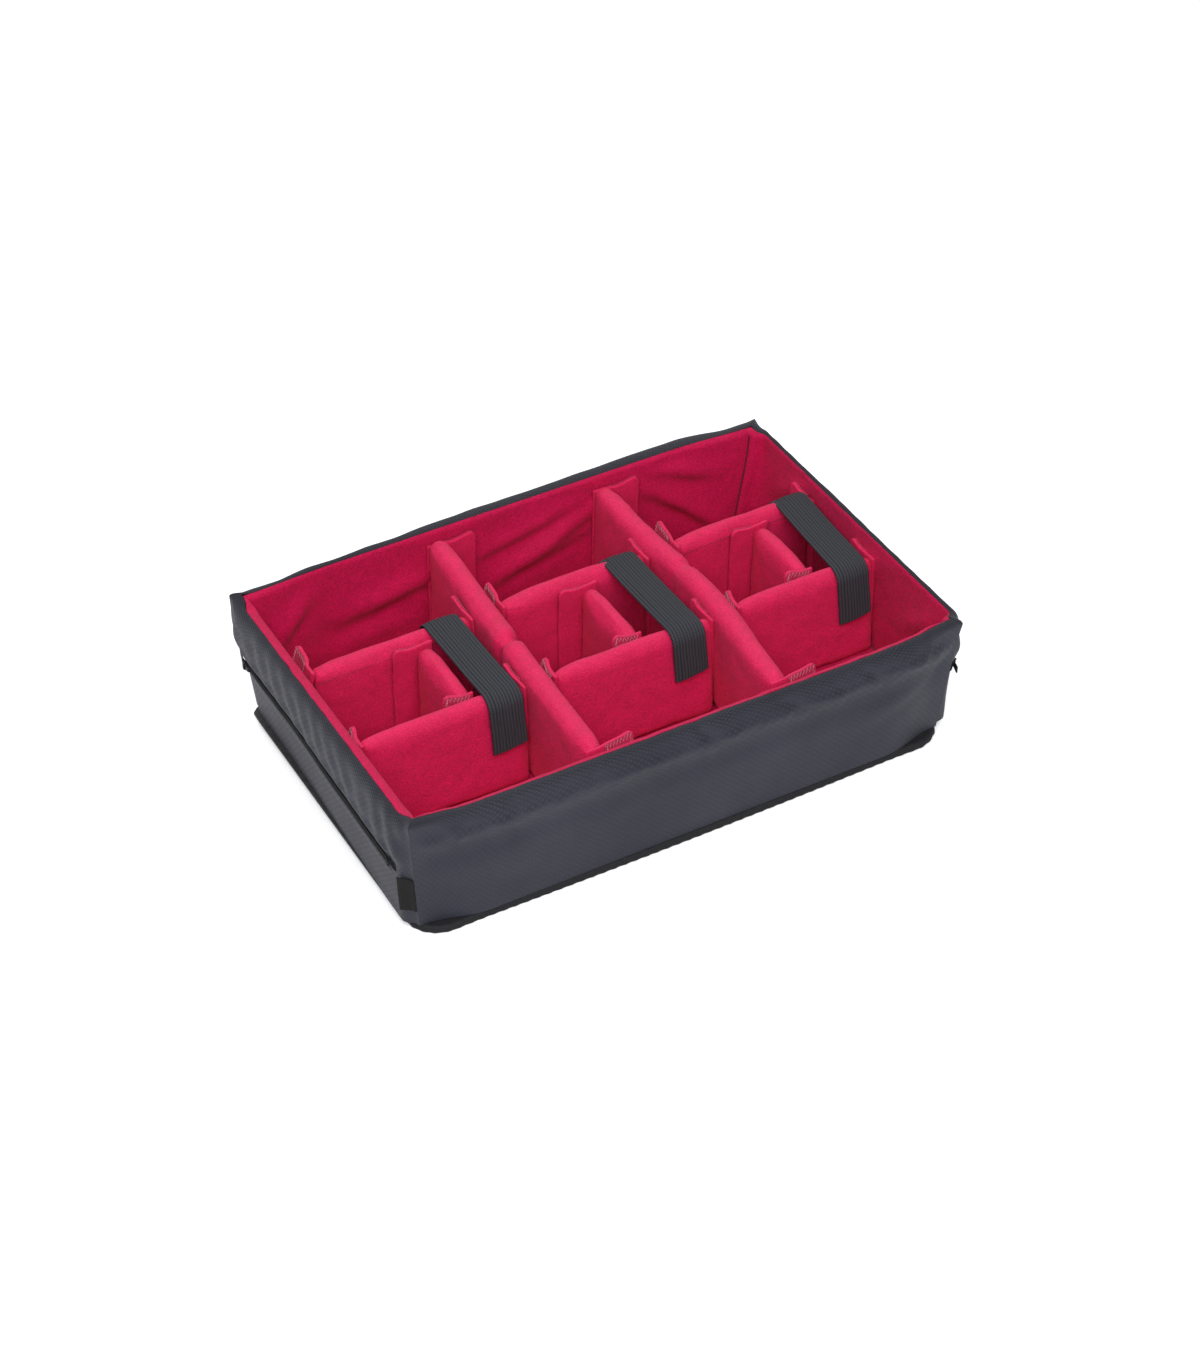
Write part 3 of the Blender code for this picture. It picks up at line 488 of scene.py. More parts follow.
tray = {
    "halfLength": 0.199, "halfWidth": 0.125, "rimWall": 0.009, "rimHeight": 0.1024,
    "foot": 0.0063, "skinInset": 0.008, "liningInset": 0.004, "cornerRoll": 0.004, "innerRoll": 0.005,
    "crest": 0.5, "cornerSeam": 0.34, "straightRows": 36, "outerRows": 13, "innerRows": 6,
    "liningRows": 44, "liningTurnRows": 7, "liningFoot": 0.0075, "skin": 0.0008, "lining": 0.001,
    "leftTuck": 0.0042, "backFullness": 0.0022, "backHollow": 0.0060, "rowLength": 0.0022,
}
walls = {
    "front": {"along": (1, 0), "out": (0, -1), "belly": 0.004, "low": 0.001, "give": 0.0, "sag": 0.0034,
              "roll": 0.014, "flat": 0.72, "seam": 0.40, "columns": 190},
    "right": {"along": (0, 1), "out": (1, 0), "belly": 0.006, "low": 0.003, "give": 0.0088, "sag": 0.0025,
              "roll": 0.011, "flat": 0.86, "seam": 0.16, "columns": 124},
    "back": {"along": (-1, 0), "out": (0, 1), "belly": 0.0095, "low": 0.003, "give": 0.006, "sag": 0.0005,
             "roll": 0.0065, "flat": 0.66, "seam": 0.16, "columns": 190},
    "left": {"along": (0, -1), "out": (-1, 0), "belly": 0.004, "low": -0.005, "give": 0.0, "sag": 0.0034,
             "roll": 0.011, "flat": 0.86, "seam": 0.49, "columns": 124},
}
for side, wall in walls.items():
    halves = tray["halfLength"], tray["halfWidth"]
    wall["halfAlong"], wall["across"] = halves if side in ("front", "back") else halves[::-1]


def swelling(side, share):
    # 1 along the flat of a wall, falling to 0 at its corners
    flat = walls[side]["flat"]
    past = min(max((abs(share) - flat) / (1 - flat), 0.0), 1.0)
    return 0.5 + 0.5 * math.cos(math.pi * past)


def downShare(height):
    return min(max((tray["rimHeight"] - height) / (tray["rimHeight"] - tray["foot"]), 0.0), 1.0)


def outerDistance(side, share, height):
    swell = swelling(side, share)
    down = downShare(height)
    middle = walls[side]["belly"] + (walls[side]["low"] - walls[side]["belly"]) * down
    if side == "left":  # tucked in further towards the far corner
        middle += tray["leftTuck"] * softStep(share, -0.7, 0.9) * down
    if side == "back":  # fuller towards the right-hand corner, flat towards the left one
        middle += tray["backFullness"] * softStep(-share, 0.0, 0.5)
        middle -= tray["backHollow"] * softStep(share, 0.05, 0.80) * (1 - down)
    return tray["rimWall"] - (1 - swell) * tray["skinInset"] * down + swell * middle


def innerDistance(side, share, height):
    swell = swelling(side, share)
    return swell * walls[side]["give"] - (1 - swell) * tray["liningInset"] * downShare(height)


def crestOf(side, share):
    # the top of the roll: distance and height
    height = tray["rimHeight"] - walls[side]["sag"] * (1 - (1 - swelling(side, share)) ** 2)
    inner = innerDistance(side, share, tray["rimHeight"])
    outer = outerDistance(side, share, tray["rimHeight"])
    return inner + tray["crest"] * (outer - inner), height


def fromCorner(side, share, key, atCorner):
    # a value of the wall that changes to another one at the corners
    return tray[atCorner] + (walls[side][key] - tray[atCorner]) * swelling(side, share)


def seamTurn(side, share):
    return math.acos(1 - fromCorner(side, share, "seam", "cornerSeam") / tray["crest"])


def innerRollSpot(side, share, turn):
    crestAt, top = crestOf(side, share)
    shoulder = top - tray["innerRoll"]
    reach = crestAt - innerDistance(side, share, shoulder)
    return crestAt - reach * math.cos(turn), shoulder + tray["innerRoll"] * math.sin(turn)


def wallSpot(side, share, distance, height):
    wall = walls[side]
    reach = share * (wall["halfAlong"] + distance)
    depth = wall["across"] + distance
    return Vector((wall["along"][0] * reach + wall["out"][0] * depth,
                   wall["along"][1] * reach + wall["out"][1] * depth, height))


wallLoop, wallTravel = [], [0.0]
for side, wall in walls.items():
    for step in range(wall["columns"]):
        wallLoop.append((side, -1 + 2 * step / wall["columns"]))
        wallTravel.append(wallTravel[-1] + 2 * (wall["halfAlong"] + tray["rimWall"]) / wall["columns"])
wallLoop.append(("front", -1.0))

# folds in metres along the wall (as seen from outside, left to right) and up it
skinFolds = {
    "front": [((-0.190, 0.092), (-0.150, 0.070), 0.006, -0.0009),
              ((-0.155, 0.096), (-0.120, 0.074), 0.005, 0.0010),
              ((-0.092, 0.094), (-0.066, 0.076), 0.006, -0.0009),
              ((0.000, 0.098), (0.012, 0.080), 0.0035, -0.0020),
              ((0.012, 0.094), (0.030, 0.078), 0.005, 0.0014),
              ((0.060, 0.096), (0.078, 0.078), 0.004, -0.0018),
              ((0.078, 0.092), (0.100, 0.074), 0.006, 0.0015),
              ((0.118, 0.096), (0.140, 0.076), 0.004, -0.0016),
              ((0.146, 0.092), (0.182, 0.072), 0.007, 0.0014),
              ((-0.060, 0.086), (-0.010, 0.080), 0.005, 0.0010),
              ((0.120, 0.046), (0.190, 0.070), 0.009, 0.0010),
              ((-0.190, 0.060), (-0.110, 0.040), 0.014, 0.0008)],
    "right": [],
    "back": [((-0.10, 0.09), (-0.06, 0.05), 0.01, 0.0012), ((0.05, 0.085), (0.10, 0.04), 0.012, 0.0012)],
    "left": [],
}
frontRidge = {"height": 0.082, "rise": 0.0026, "hollowHeight": 0.066, "hollow": 0.0016, "ripple": 0.0015}
endRidge = {"height": 0.073, "rise": 0.0026, "width": 0.012}
pleats = {"spacing": 0.0200, "depth": 0.0008, "slant": 0.50, "drift": 3.4, "low": 0.062, "high": 0.096}
zipLine = {"height": 0.055, "far": 0.86, "near": 0.80, "channel": 0.0044, "depth": 0.0022,
           "lip": 0.0020, "lipAbove": 0.0095, "lipBelow": 0.0085}
skinCorners = {"tip": 0.0013, "farRightTip": 0.3, "farRightSpread": 0.0036, "farLeftSpread": 0.0030}


def endRelief(along, share, height):
    # pleats, the ridge over the zip and the zip's channel, on the end walls
    drift = pleats["drift"] * clothNoise(along, height, 0.050, 12.0)
    pleat = math.sin(2 * math.pi * (along + pleats["slant"] * height) / pleats["spacing"] + drift)
    band = softStep(height, pleats["low"] - 0.004, pleats["low"] + 0.010)
    band *= 1 - 0.7 * softStep(height, pleats["high"] - 0.010, pleats["high"] + 0.006)
    relief = pleats["depth"] * pleat * band * (0.7 + 0.9 * clothNoise(along, 0.0, 0.040, 40.0))
    relief += endRidge["rise"] * bump(height, endRidge["height"], endRidge["width"])
    channel = -zipLine["depth"] * bump(height, zipLine["height"], zipLine["channel"])
    channel += zipLine["lip"] * bump(height, zipLine["height"] + zipLine["lipAbove"], 0.0030)
    channel += 0.5 * zipLine["lip"] * bump(height, zipLine["height"] - zipLine["lipBelow"], 0.0035)
    insideEnds = min(zipLine["near"] - share, zipLine["far"] + share)
    return relief + channel * softStep(insideEnds, -0.02, 0.03)


def skinRelief(side, share, height, onRoll=False):
    along = share * walls[side]["halfAlong"]
    longSide = side in ("front", "back")
    relief = foldSum(skinFolds[side], along, height)
    relief += 0.0009 * clothNoise(along, height, 0.060, 3.1) + 0.0003 * clothNoise(along, height, 0.017, 8.4)
    if side == "front":  # the padding makes a soft ridge under the rim, with short ripples
        relief += frontRidge["rise"] * bump(height, frontRidge["height"], 0.0075)
        relief -= frontRidge["hollow"] * bump(height, frontRidge["hollowHeight"], 0.009)
        ripple = clothNoise(along + 0.6 * height, 0.0, 0.011, 5.0)
        ripple += 0.6 * clothNoise(along, height, 0.006, 7.0)
        relief += frontRidge["ripple"] * ripple * bump(height, 0.084, 0.012)
    elif side == "back":
        relief += 0.0009 * clothNoise(along, 0.0, 0.022, 6.0) * softStep(height, 0.07, 0.09)
    else:
        relief += endRelief(along, share, height)
    edge = softStep(1 - abs(share), 0.0, 0.07 if longSide else 0.12)
    foot = softStep(height, tray["foot"], tray["foot"] + 0.012)
    return relief * edge * foot * (0.75 if onRoll else 1.0)


def clothSpot(side, share, height, off=0.0):
    # a place on the skin's straight part, so far off it
    distance = outerDistance(side, share, height) + skinRelief(side, share, height)
    return wallSpot(side, share, distance + off, height)


def skinProfile(side, share, row):
    # distance, height and outward direction up the outside, over the roll and in to the lining's seam
    crestAt, top = crestOf(side, share)
    roll = fromCorner(side, share, "roll", "cornerRoll")
    shoulder = top - roll
    if row <= tray["straightRows"]:
        height = tray["foot"] + (shoulder - tray["foot"]) * row / tray["straightRows"]
        return outerDistance(side, share, height), height, 1.0, 0.0
    row -= tray["straightRows"]
    if row <= tray["outerRows"]:
        turn = math.pi / 2 * row / tray["outerRows"]
        reach = outerDistance(side, share, shoulder) - crestAt
        outward, upward = math.cos(turn), math.sin(turn)
        return crestAt + reach * outward, shoulder + roll * upward, outward, upward
    row -= tray["outerRows"]
    turn = math.pi / 2 - (math.pi / 2 - seamTurn(side, share)) * row / tray["innerRows"]
    return (*innerRollSpot(side, share, turn), -math.cos(turn), math.sin(turn))


def skinSpot(column, row):
    side, share = wallLoop[column]
    distance, height, outward, upward = skinProfile(side, share, row)
    relief = skinRelief(side, share, height, row > tray["straightRows"])
    away = 1 - abs(share)
    tip = skinCorners["tip"] * bump(away, 0.0, 0.020) * softStep(height, 0.088, 0.100)
    spread = 0.5 * tip
    if (side, share < 0) in (("back", True), ("right", False)):  # the far right corner spreads at the rim
        tip *= skinCorners["farRightTip"]
        swell = skinCorners["farRightSpread"] * bump(away, 0.0, 0.10) * softStep(height, 0.070, 0.096)
        spread += swell * max(outward, 0.0)
    if (side, share < 0) in (("left", True), ("back", False)):  # the far left one below the rim
        swell = skinCorners["farLeftSpread"] * bump(away, 0.0, 0.12) * bump(height, 0.076, 0.020)
        spread += swell * max(outward, 0.0)
    return wallSpot(side, share, distance + outward * relief + spread, height + upward * relief + tip)


def clothUv(column, row):
    return wallTravel[column], row * tray["rowLength"]


skinRows = tray["straightRows"] + tray["outerRows"] + tray["innerRows"]
outerSkin = makeSheet("outerSkin", len(wallLoop) - 1, skinRows, skinSpot, clothUv)
weld(outerSkin)
finishSheet(outerSkin, tray["skin"], -1, ripstop, 50)
print("outer skin:", len(outerSkin.data.polygons), "faces")

# folds of the fleece lining, as it hangs between the dividers; along runs right to left on the back wall
liningFolds = {
    "back": [((-0.078, 0.078), (0.014, 0.038), 0.0080, 0.0062),
             ((-0.070, 0.060), (-0.018, 0.044), 0.0060, 0.0034),
             ((-0.060, 0.086), (0.030, 0.064), 0.0060, 0.0026),
             ((0.044, 0.068), (0.122, 0.053), 0.0090, 0.0048),
             ((0.070, 0.044), (0.140, 0.036), 0.0090, -0.0026),
             ((0.150, 0.082), (0.188, 0.050), 0.0090, 0.0030),
             ((-0.110, 0.078), (-0.182, 0.024), 0.0080, 0.0052),
             ((-0.120, 0.090), (-0.172, 0.072), 0.0070, 0.0030)],
    "right": [((-0.105, 0.084), (-0.060, 0.050), 0.0080, 0.0026),
              ((-0.030, 0.086), (0.000, 0.040), 0.0080, 0.0024),
              ((0.060, 0.088), (0.092, 0.060), 0.0080, 0.0026)],
    "front": [((-0.150, 0.080), (-0.100, 0.050), 0.012, 0.002),
              ((0.000, 0.082), (0.050, 0.050), 0.012, 0.002),
              ((0.110, 0.080), (0.170, 0.052), 0.012, 0.002)],
    "left": [((-0.090, 0.080), (-0.050, 0.050), 0.010, 0.0016),
             ((0.020, 0.080), (0.080, 0.052), 0.010, 0.0016)],
}
rimPad = {"left": 0.0016, "front": 0.0006, "back": 0.0, "right": 0.0}
farRightHang = {"depth": 0.011, "width": 0.026, "top": 0.096, "length": 0.085}


def liningRelief(side, share, height):
    # inwards is positive
    along = share * walls[side]["halfAlong"]
    relief = foldSum(liningFolds[side], along, height)
    relief += (0.0010 * clothNoise(along, height, 0.040, 21.0)
               + 0.0005 * clothNoise(along, height, 0.014, 17.0))
    relief *= (1 - softStep(height, 0.086, 0.096)) * softStep(height, 0.008, 0.020)
    return (relief + rimPad[side] * bump(height, 0.094, 0.011)) * softStep(1 - abs(share), 0.0, 0.06)


def liningSpot(column, row):
    side, share = wallLoop[column]
    straight = tray["liningRows"] - tray["liningTurnRows"]
    if row <= straight:
        shoulder = crestOf(side, share)[1] - tray["innerRoll"]
        height = tray["liningFoot"] + (shoulder - tray["liningFoot"]) * row / straight
        distance = innerDistance(side, share, height) - liningRelief(side, share, height)
    else:
        turn = (seamTurn(side, share) - 0.03) * (row - straight) / tray["liningTurnRows"]
        distance, height = innerRollSpot(side, share, turn)
        distance -= liningRelief(side, share, height) * math.cos(turn)
    wavy = 0.0005 * clothNoise(wallTravel[column], 0.0, 0.012, 30.0) * softStep(height, 0.094, 0.098)
    spot = wallSpot(side, share, distance - wavy, height + wavy)
    # in the far right corner the lining hangs inwards, more so lower down
    away = math.hypot(spot.x - tray["halfLength"] - 0.004, spot.y - tray["halfWidth"] - 0.004)
    hang = softStep(farRightHang["top"] - height, 0.0, farRightHang["length"])
    spot.x -= farRightHang["depth"] * bump(away, 0.0, farRightHang["width"]) * hang
    return spot


wallLining = makeSheet("wallLining", len(wallLoop) - 1, tray["liningRows"], liningSpot, clothUv)
weld(wallLining)
finishSheet(wallLining, tray["lining"], 1, shadedLiningFleece, 50)
print("wall lining:", len(wallLining.data.polygons), "faces")

# floor of the tray, wider where the right and back walls give
floorPad = {"top": 0.0094, "thickness": 0.0023, "columns": 150, "rows": 96, "dip": 0.0006, "edgeDip": 0.0008,
            "inset": 0.0003, "rightGive": 0.0086, "farGive": 0.0057, "rightPull": 3.0, "farPull": 2.3}


def floorSpot(column, row):
    across = -1 + 2 * column / floorPad["columns"]
    deep = -1 + 2 * row / floorPad["rows"]
    left, right = floorPad["inset"] - tray["halfLength"], tray["halfLength"] + floorPad["rightGive"]
    near, far = floorPad["inset"] - tray["halfWidth"], tray["halfWidth"] + floorPad["farGive"]
    x = left + (right - left) * (across + 1) / 2
    y = near + (far - near) * (deep + 1) / 2
    pull = tray["liningInset"] * 1.05  # rounds the corners
    x -= pull * (1 - swelling("right", deep)) * (across if across < 0 else across * floorPad["rightPull"])
    y -= pull * (1 - swelling("front", across)) * (deep if deep < 0 else deep * floorPad["farPull"])
    sunk = floorPad["dip"] * (0.55 + 0.45 * clothNoise(x, y, 0.035, 2.0))
    sunk += floorPad["edgeDip"] * softStep(max(abs(across), abs(deep)), 0.965, 1.0)
    return Vector((x, y, floorPad["top"] - sunk))


floorLining = makeSheet("floorLining", floorPad["columns"], floorPad["rows"], floorSpot)
finishSheet(floorLining, floorPad["thickness"], -1, shadedLiningFleece)
print("floor lining:", len(floorLining.data.polygons), "faces")

# base: a covered board with a bound edge
basePlate = {"halfLength": 0.205, "halfWidth": 0.137, "radius": 0.026, "bow": 0.002, "thickness": 0.006,
             "cover": 0.0004, "coverInset": 0.0036, "coverCorners": 240,
             "binding": 0.0036, "bindingWall": 0.0007, "bindingColumns": 620, "bindingRows": 12, "wrap": 0.35,
             "scallop": 0.00035, "scallopLength": 0.0085}


def tuck(spot):
    # the plate sits a little askew under the skirt: in at the far left corner, out at the near ones
    spot.x += 0.0045 * softStep(spot.y, -0.03, 0.12) * softStep(-spot.x, 0.12, 0.20)
    near = softStep(-spot.y, 0.08, 0.13)
    spot.x -= 0.0016 * near * softStep(-spot.x, 0.16, 0.20)
    spot.x += 0.0020 * near * softStep(spot.x, 0.16, 0.20)
    spot.y -= 0.0012 * near * softStep(abs(spot.x), 0.15, 0.20)
    return spot


def baseEdge(travel):
    # a point of the rounded outline and its outward direction, for a share of the way round
    radius = basePlate["radius"]
    flatX = basePlate["halfLength"] - basePlate["bow"] - radius
    flatY = basePlate["halfWidth"] - basePlate["bow"] - radius
    arc = math.pi * radius / 2
    left = travel * 4 * (flatX + flatY + arc)
    for quarter, (flat, depth) in enumerate(((flatX, flatY), (flatY, flatX)) * 2):
        out = Vector(((0, -1, 0), (1, 0, 0), (0, 1, 0), (-1, 0, 0))[quarter])
        heading = Vector((-out.y, out.x, 0))
        if left <= 2 * flat:
            bow = basePlate["bow"] * math.sin(math.pi * left / (2 * flat))
            return tuck(out * (depth + radius + bow) + heading * (left - flat)), out
        left -= 2 * flat
        if left <= arc or quarter == 3:
            turn = math.radians(90 * (quarter - 1)) + min(left, arc) / radius
            centre = out * depth + heading * flat
            out = Vector((math.cos(turn), math.sin(turn), 0))
            return tuck(centre + out * radius), out
        left -= arc


def bindingSpot(column, row):
    travel = column / basePlate["bindingColumns"]
    edge, out = baseEdge(travel)
    scallops = round(4 * (basePlate["halfLength"] + basePlate["halfWidth"]) / basePlate["scallopLength"])
    beat = basePlate["scallop"] * math.sin(2 * math.pi * travel * scallops)
    wrap = basePlate["wrap"]
    turn = -math.pi / 2 - wrap + (math.pi + 2 * wrap) * row / basePlate["bindingRows"]
    half = basePlate["thickness"] / 2
    bulge = basePlate["binding"] * 0.55
    lift = (half + 0.6 * beat * (row > 3)) * math.sin(turn) * (0.98 if row < 4 else 1.0)
    inwards = -0.0016 if abs(math.sin(turn)) > 0.9 and math.cos(turn) < 0.2 else 0.0
    spot = edge + out * ((bulge + beat) * math.cos(turn) - bulge + inwards)
    spot.z = max(half + lift, 0.0)
    return spot


baseBinding = makeSheet("baseBinding", basePlate["bindingColumns"], basePlate["bindingRows"], bindingSpot)
weld(baseBinding)
finishSheet(baseBinding, basePlate["bindingWall"], -1, bindingTape, 60)

clearSelection()
bpy.ops.mesh.primitive_circle_add(vertices=basePlate["coverCorners"], radius=1, fill_type="NGON")
baseCover = nameIt("baseCover")
for index, vert in enumerate(baseCover.data.vertices):
    edge, out = baseEdge(index / basePlate["coverCorners"])
    vert.co = edge - out * basePlate["coverInset"]
    vert.co.z = basePlate["cover"]
selectWhere(baseCover, "FACE", lambda centre, normal: True)
coverDepth = basePlate["thickness"] - 2 * basePlate["cover"]
bpy.ops.mesh.extrude_region_move(TRANSFORM_OT_translate={"value": (0, 0, coverDepth)})
bpy.ops.mesh.inset(thickness=0.004, depth=0)
facesOut(baseCover)
dress(baseCover, baseCloth)
print("base made")

# a dark red line down the lining's far right corner: painted shade of the crease there
cornerColumn = walls["front"]["columns"] + walls["right"]["columns"]
cornerSeam = makeThread("liningCornerCreaseShade", [[liningSpot(cornerColumn, row) + Vector((-0.0003, -0.0003, 0))
                                              for row in range(tray["liningRows"] - 6)]], 0.0012, cornerCreaseShade)
attach(cornerSeam, "tray", "red_fleece")


# padded dividers: rounded slabs, swollen by a cloth simulation, then given seams and folds

dividers = {
    "bottom": 0.0096, "voxel": 0.0032, "endRound": 0.0046, "topRound": 0.47, "fill": 0.85,
    "longTop": 0.0945, "crossTop": 0.0862, "shortTop": 0.0840,
    "longThick": 0.0156, "crossThick": 0.0122, "rearThick": 0.0148, "shortThick": 0.0140,
    "near": -0.1247, "far": 0.1307, "leftWall": -0.199, "rightWall": 0.2080,
    "rearY": 0.0515, "frontY": -0.0290, "longHalf": 0.0080, "crossHalf": 0.0055,
    "frontLean": 0.0066, "bowAt": -0.015, "bowReach": 0.070,
}
puffing = {"frames": 14, "cap": 0.0008, "quality": 5, "mass": 0.25, "pressure": 4.0, "shrink": -0.02,
           "tension": 9, "bending": 0.4}
longPlaces = {
    "left": {"x": -0.0601, "crease": 0.0100, "notch": 1.0, "nearShift": -0.0055, "farShift": 0.0050,
             "rise": 0.0028, "bow": 0.0, "seed": 3.0},
    "right": {"x": 0.0764, "crease": 0.0220, "notch": 0.4, "nearShift": -0.0030, "farShift": 0.0010,
              "rise": 0.0008, "bow": 0.0085, "seed": 11.0},
}
# in each bay: where the short divider stands, and for the cross dividers' left and right tabs,
# how far the top leans off its neighbour and how long the tab is
bays = {
    "left": {"short": -0.1096, "lead": 0, "rearShift": 0.0005, "arch": 0.0010, "frontShift": 0.0,
             "leans": {"rear": (0.0125, 0.0020), "front": (0.0080, 0.0012)},
             "tabs": {"rear": (0.033, 0.031), "front": (0.022, 0.030)}},
    "middle": {"short": 0.0190, "lead": 1, "rearShift": 0.0025, "arch": 0.0030, "frontShift": 0.0,
               "leans": {"rear": (0.0058, 0.0018), "front": (0.0050, 0.0010)},
               "tabs": {"rear": (0.031, 0.028), "front": (0.022, 0.028)}},
    "right": {"short": 0.1581, "lead": 2, "rearShift": 0.0034, "arch": 0.0022, "frontShift": 0.0032,
              "leans": {"rear": (0.0062, 0.0024), "front": (0.0048, 0.0014)},
              "tabs": {"rear": (0.034, 0.028), "front": (0.021, 0.028)}},
}


def footPush(height):
    # the front dividers lean, foot forward
    top, bottom = dividers["crossTop"], dividers["bottom"]
    return dividers["frontLean"] * (top - height) / (top - bottom)


def longX(side, y):
    # the long dividers stand a little askew, and the right one bows
    place = longPlaces[side]
    share = (y + tray["halfWidth"]) / 0.256
    return (place["x"] + place["nearShift"] + (place["farShift"] - place["nearShift"]) * share
            + place["bow"] * bump(y, dividers["bowAt"], dividers["bowReach"]))


def baySpan(bay, y):
    # the bay's left and right end, each a wall or the face of a long divider
    clear = dividers["longHalf"] + 0.0002
    leftLong, rightLong = longX("left", y), longX("right", y)
    return {"left": (dividers["leftWall"], leftLong - clear),
            "middle": (leftLong + clear, rightLong - clear),
            "right": (rightLong + clear, dividers["rightWall"])}[bay]


def puff(piece):
    # puts the shape under pressure, so that the cloth pulls over its filling, and caps the moves
    pick(piece)
    before = [vert.co.copy() for vert in piece.data.vertices]
    cloth = piece.modifiers.new("puff", "CLOTH")
    cloth.settings.quality = puffing["quality"]
    cloth.settings.mass = puffing["mass"]
    cloth.settings.use_pressure = True
    cloth.settings.uniform_pressure_force = puffing["pressure"]
    cloth.settings.shrink_min = puffing["shrink"]
    cloth.settings.tension_stiffness = puffing["tension"]
    cloth.settings.bending_stiffness = puffing["bending"]
    cloth.settings.effector_weights.gravity = 0
    cloth.point_cache.frame_start = 1
    cloth.point_cache.frame_end = puffing["frames"]
    for step in range(1, puffing["frames"] + 1):
        scene.frame_set(step)
    bpy.ops.object.modifier_apply(modifier=cloth.name)
    scene.frame_set(1)
    cap = puffing["cap"]
    for vert, old in zip(piece.data.vertices, before):
        move = vert.co - old
        if move.length > cap:
            vert.co = old + move * (cap / move.length)


def makeDivider(name, centre, length, top, thickness, alongY, seed, long=None, arch=0.0006, leans=False):
    bottom = dividers["bottom"]
    height = top - bottom
    size = (thickness, length, height) if alongY else (length, thickness, height)
    clearSelection()
    bpy.ops.mesh.primitive_cube_add(size=1, scale=size, location=(*centre, bottom + height / 2))
    piece = nameIt(name)
    applyPlace(piece)
    selectWhere(piece, "EDGE", lambda a, b: abs(a.z - b.z) > height / 2)
    bpy.ops.mesh.bevel(offset=dividers["endRound"], segments=4, affect="EDGES")
    selectWhere(piece, "EDGE", lambda a, b: min(a.z, b.z) > top - 0.0001)
    bpy.ops.mesh.bevel(offset=thickness * dividers["topRound"], segments=6, affect="EDGES")
    setMode("OBJECT")
    remesh = piece.modifiers.new("even", "REMESH")
    remesh.mode = "VOXEL"
    remesh.voxel_size = dividers["voxel"]
    applyModifiers(piece)
    puff(piece)
    fine = piece.modifiers.new("fine", "SUBSURF")
    fine.levels = 1
    applyModifiers(piece)
    alongAxis, acrossAxis = (1, 0) if alongY else (0, 1)
    for vert in piece.data.vertices:
        co = vert.co
        along, across = co[alongAxis] - centre[alongAxis], co[acrossAxis] - centre[acrossAxis]
        up = co.z - bottom
        rising = softStep(up, 0.0, height)
        atTop = softStep(co.z, top - 0.012, top)
        pinch = softStep(abs(along), length / 2 - 0.020, length / 2)
        squeeze = 1 - 0.16 * pinch * softStep(up, height * 0.3, height)
        wave = 0.0006 * clothNoise(along + across, up, 0.024, seed)
        wave += 0.00035 * clothNoise(along, up, 0.010, seed + 9)
        shift = wave * softStep(up, 0.0, 0.010) * (1 if across > 0 else -1)
        drop = 0.0012 * pinch * atTop - 0.0005 * clothNoise(along, 0.0, 0.018, seed + 4) * atTop
        drop -= arch * math.cos(math.pi * min(abs(along) / length, 0.5)) * rising
        if long:  # the stitched fold: a notch between two shoulders, with fine rays
            away = co.y - long["crease"]
            notch = bump(away, 0.0, 0.0042)
            shoulder = bump(away, 0.010, 0.006) + bump(away, -0.010, 0.006)
            drop += long["notch"] * (0.0050 * notch - 0.0008 * shoulder) * atTop
            drop -= long["rise"] * softStep(co.y, 0.02, 0.12) * rising
            pulledIn = long["notch"] * (0.42 * notch - 0.10 * shoulder)
            squeeze *= 1 - pulledIn * softStep(up, height * 0.25, height)
            shift += 0.0004 * math.sin(away * 900 + across * 300) * bump(away, 0.0, 0.014) * atTop
        co[acrossAxis] = centre[acrossAxis] + across * squeeze + shift
        co.z = max(co.z - drop, bottom)
        if leans:
            co.y -= footPush(co.z)
        if long:
            co.x += longX(long["side"], co.y) - centre[0]
    dress(piece, fleece, 60)
    return piece


def attachCover(cover, body, *nodes):
    attach(cover, body, "red_fleece", *nodes)


# hook tabs: the folded ends of the dividers
tabStyle = {"wall": 0.0024, "columns": 26, "rows": 34, "corner": 0.0035, "patch": 0.0005, "zigzagFrom": 0.025,
            "zigzagStep": 0.0012, "zigzagWide": 0.0034, "zigzagThread": 0.00042,
            "stitch": 0.0020, "gap": 0.0010, "thread": 0.00055}


def makeTab(name, body, start, run, away, top, lean, seed, length=0.037):
    # a sheet from the divider's near face along its neighbour, with its hook patch and seams
    bottom, corner = dividers["bottom"], tabStyle["corner"]
    columns, rows = tabStyle["columns"], tabStyle["rows"]
    runDir, awayDir = Vector((*run, 0)), Vector((*away, 0))

    def spot(column, row):
        along = length * column / columns
        height = bottom + (top - bottom) * row / rows
        upShare = softStep(height, top - 0.034, top + 0.004)
        free = softStep(along, 0.009, 0.019)
        past = max(along - (length - corner), 0.0)
        cut = corner - math.sqrt(max(corner ** 2 - past ** 2, 0.0))
        ear = 0.0016 * bump(along, length - 0.004, 0.0045) - 0.0008 * bump(along, length - 0.019, 0.006)
        height += (ear - cut) * softStep(row / rows, 0.6, 1.0)
        off = 0.0002 + lean * upShare * (0.75 + 0.25 * free)
        off += (0.0006 + 0.0006 * clothNoise(along, height, 0.014, seed)) * free
        return Vector((*start, 0)) + runDir * along + awayDir * off + Vector((0, 0, height))

    flap = makeSheet(name + "Flap", columns, rows, spot)
    thicken(flap, tabStyle["wall"], 1 if runDir.cross(Vector((0, 0, 1))).dot(awayDir) > 0 else -1)
    roundEdges(flap, 0.0008, 3)
    dress(flap, fleece, 50)
    attach(flap, body, "red_fleece")
    dressTab(name, body, spot, awayDir, length)


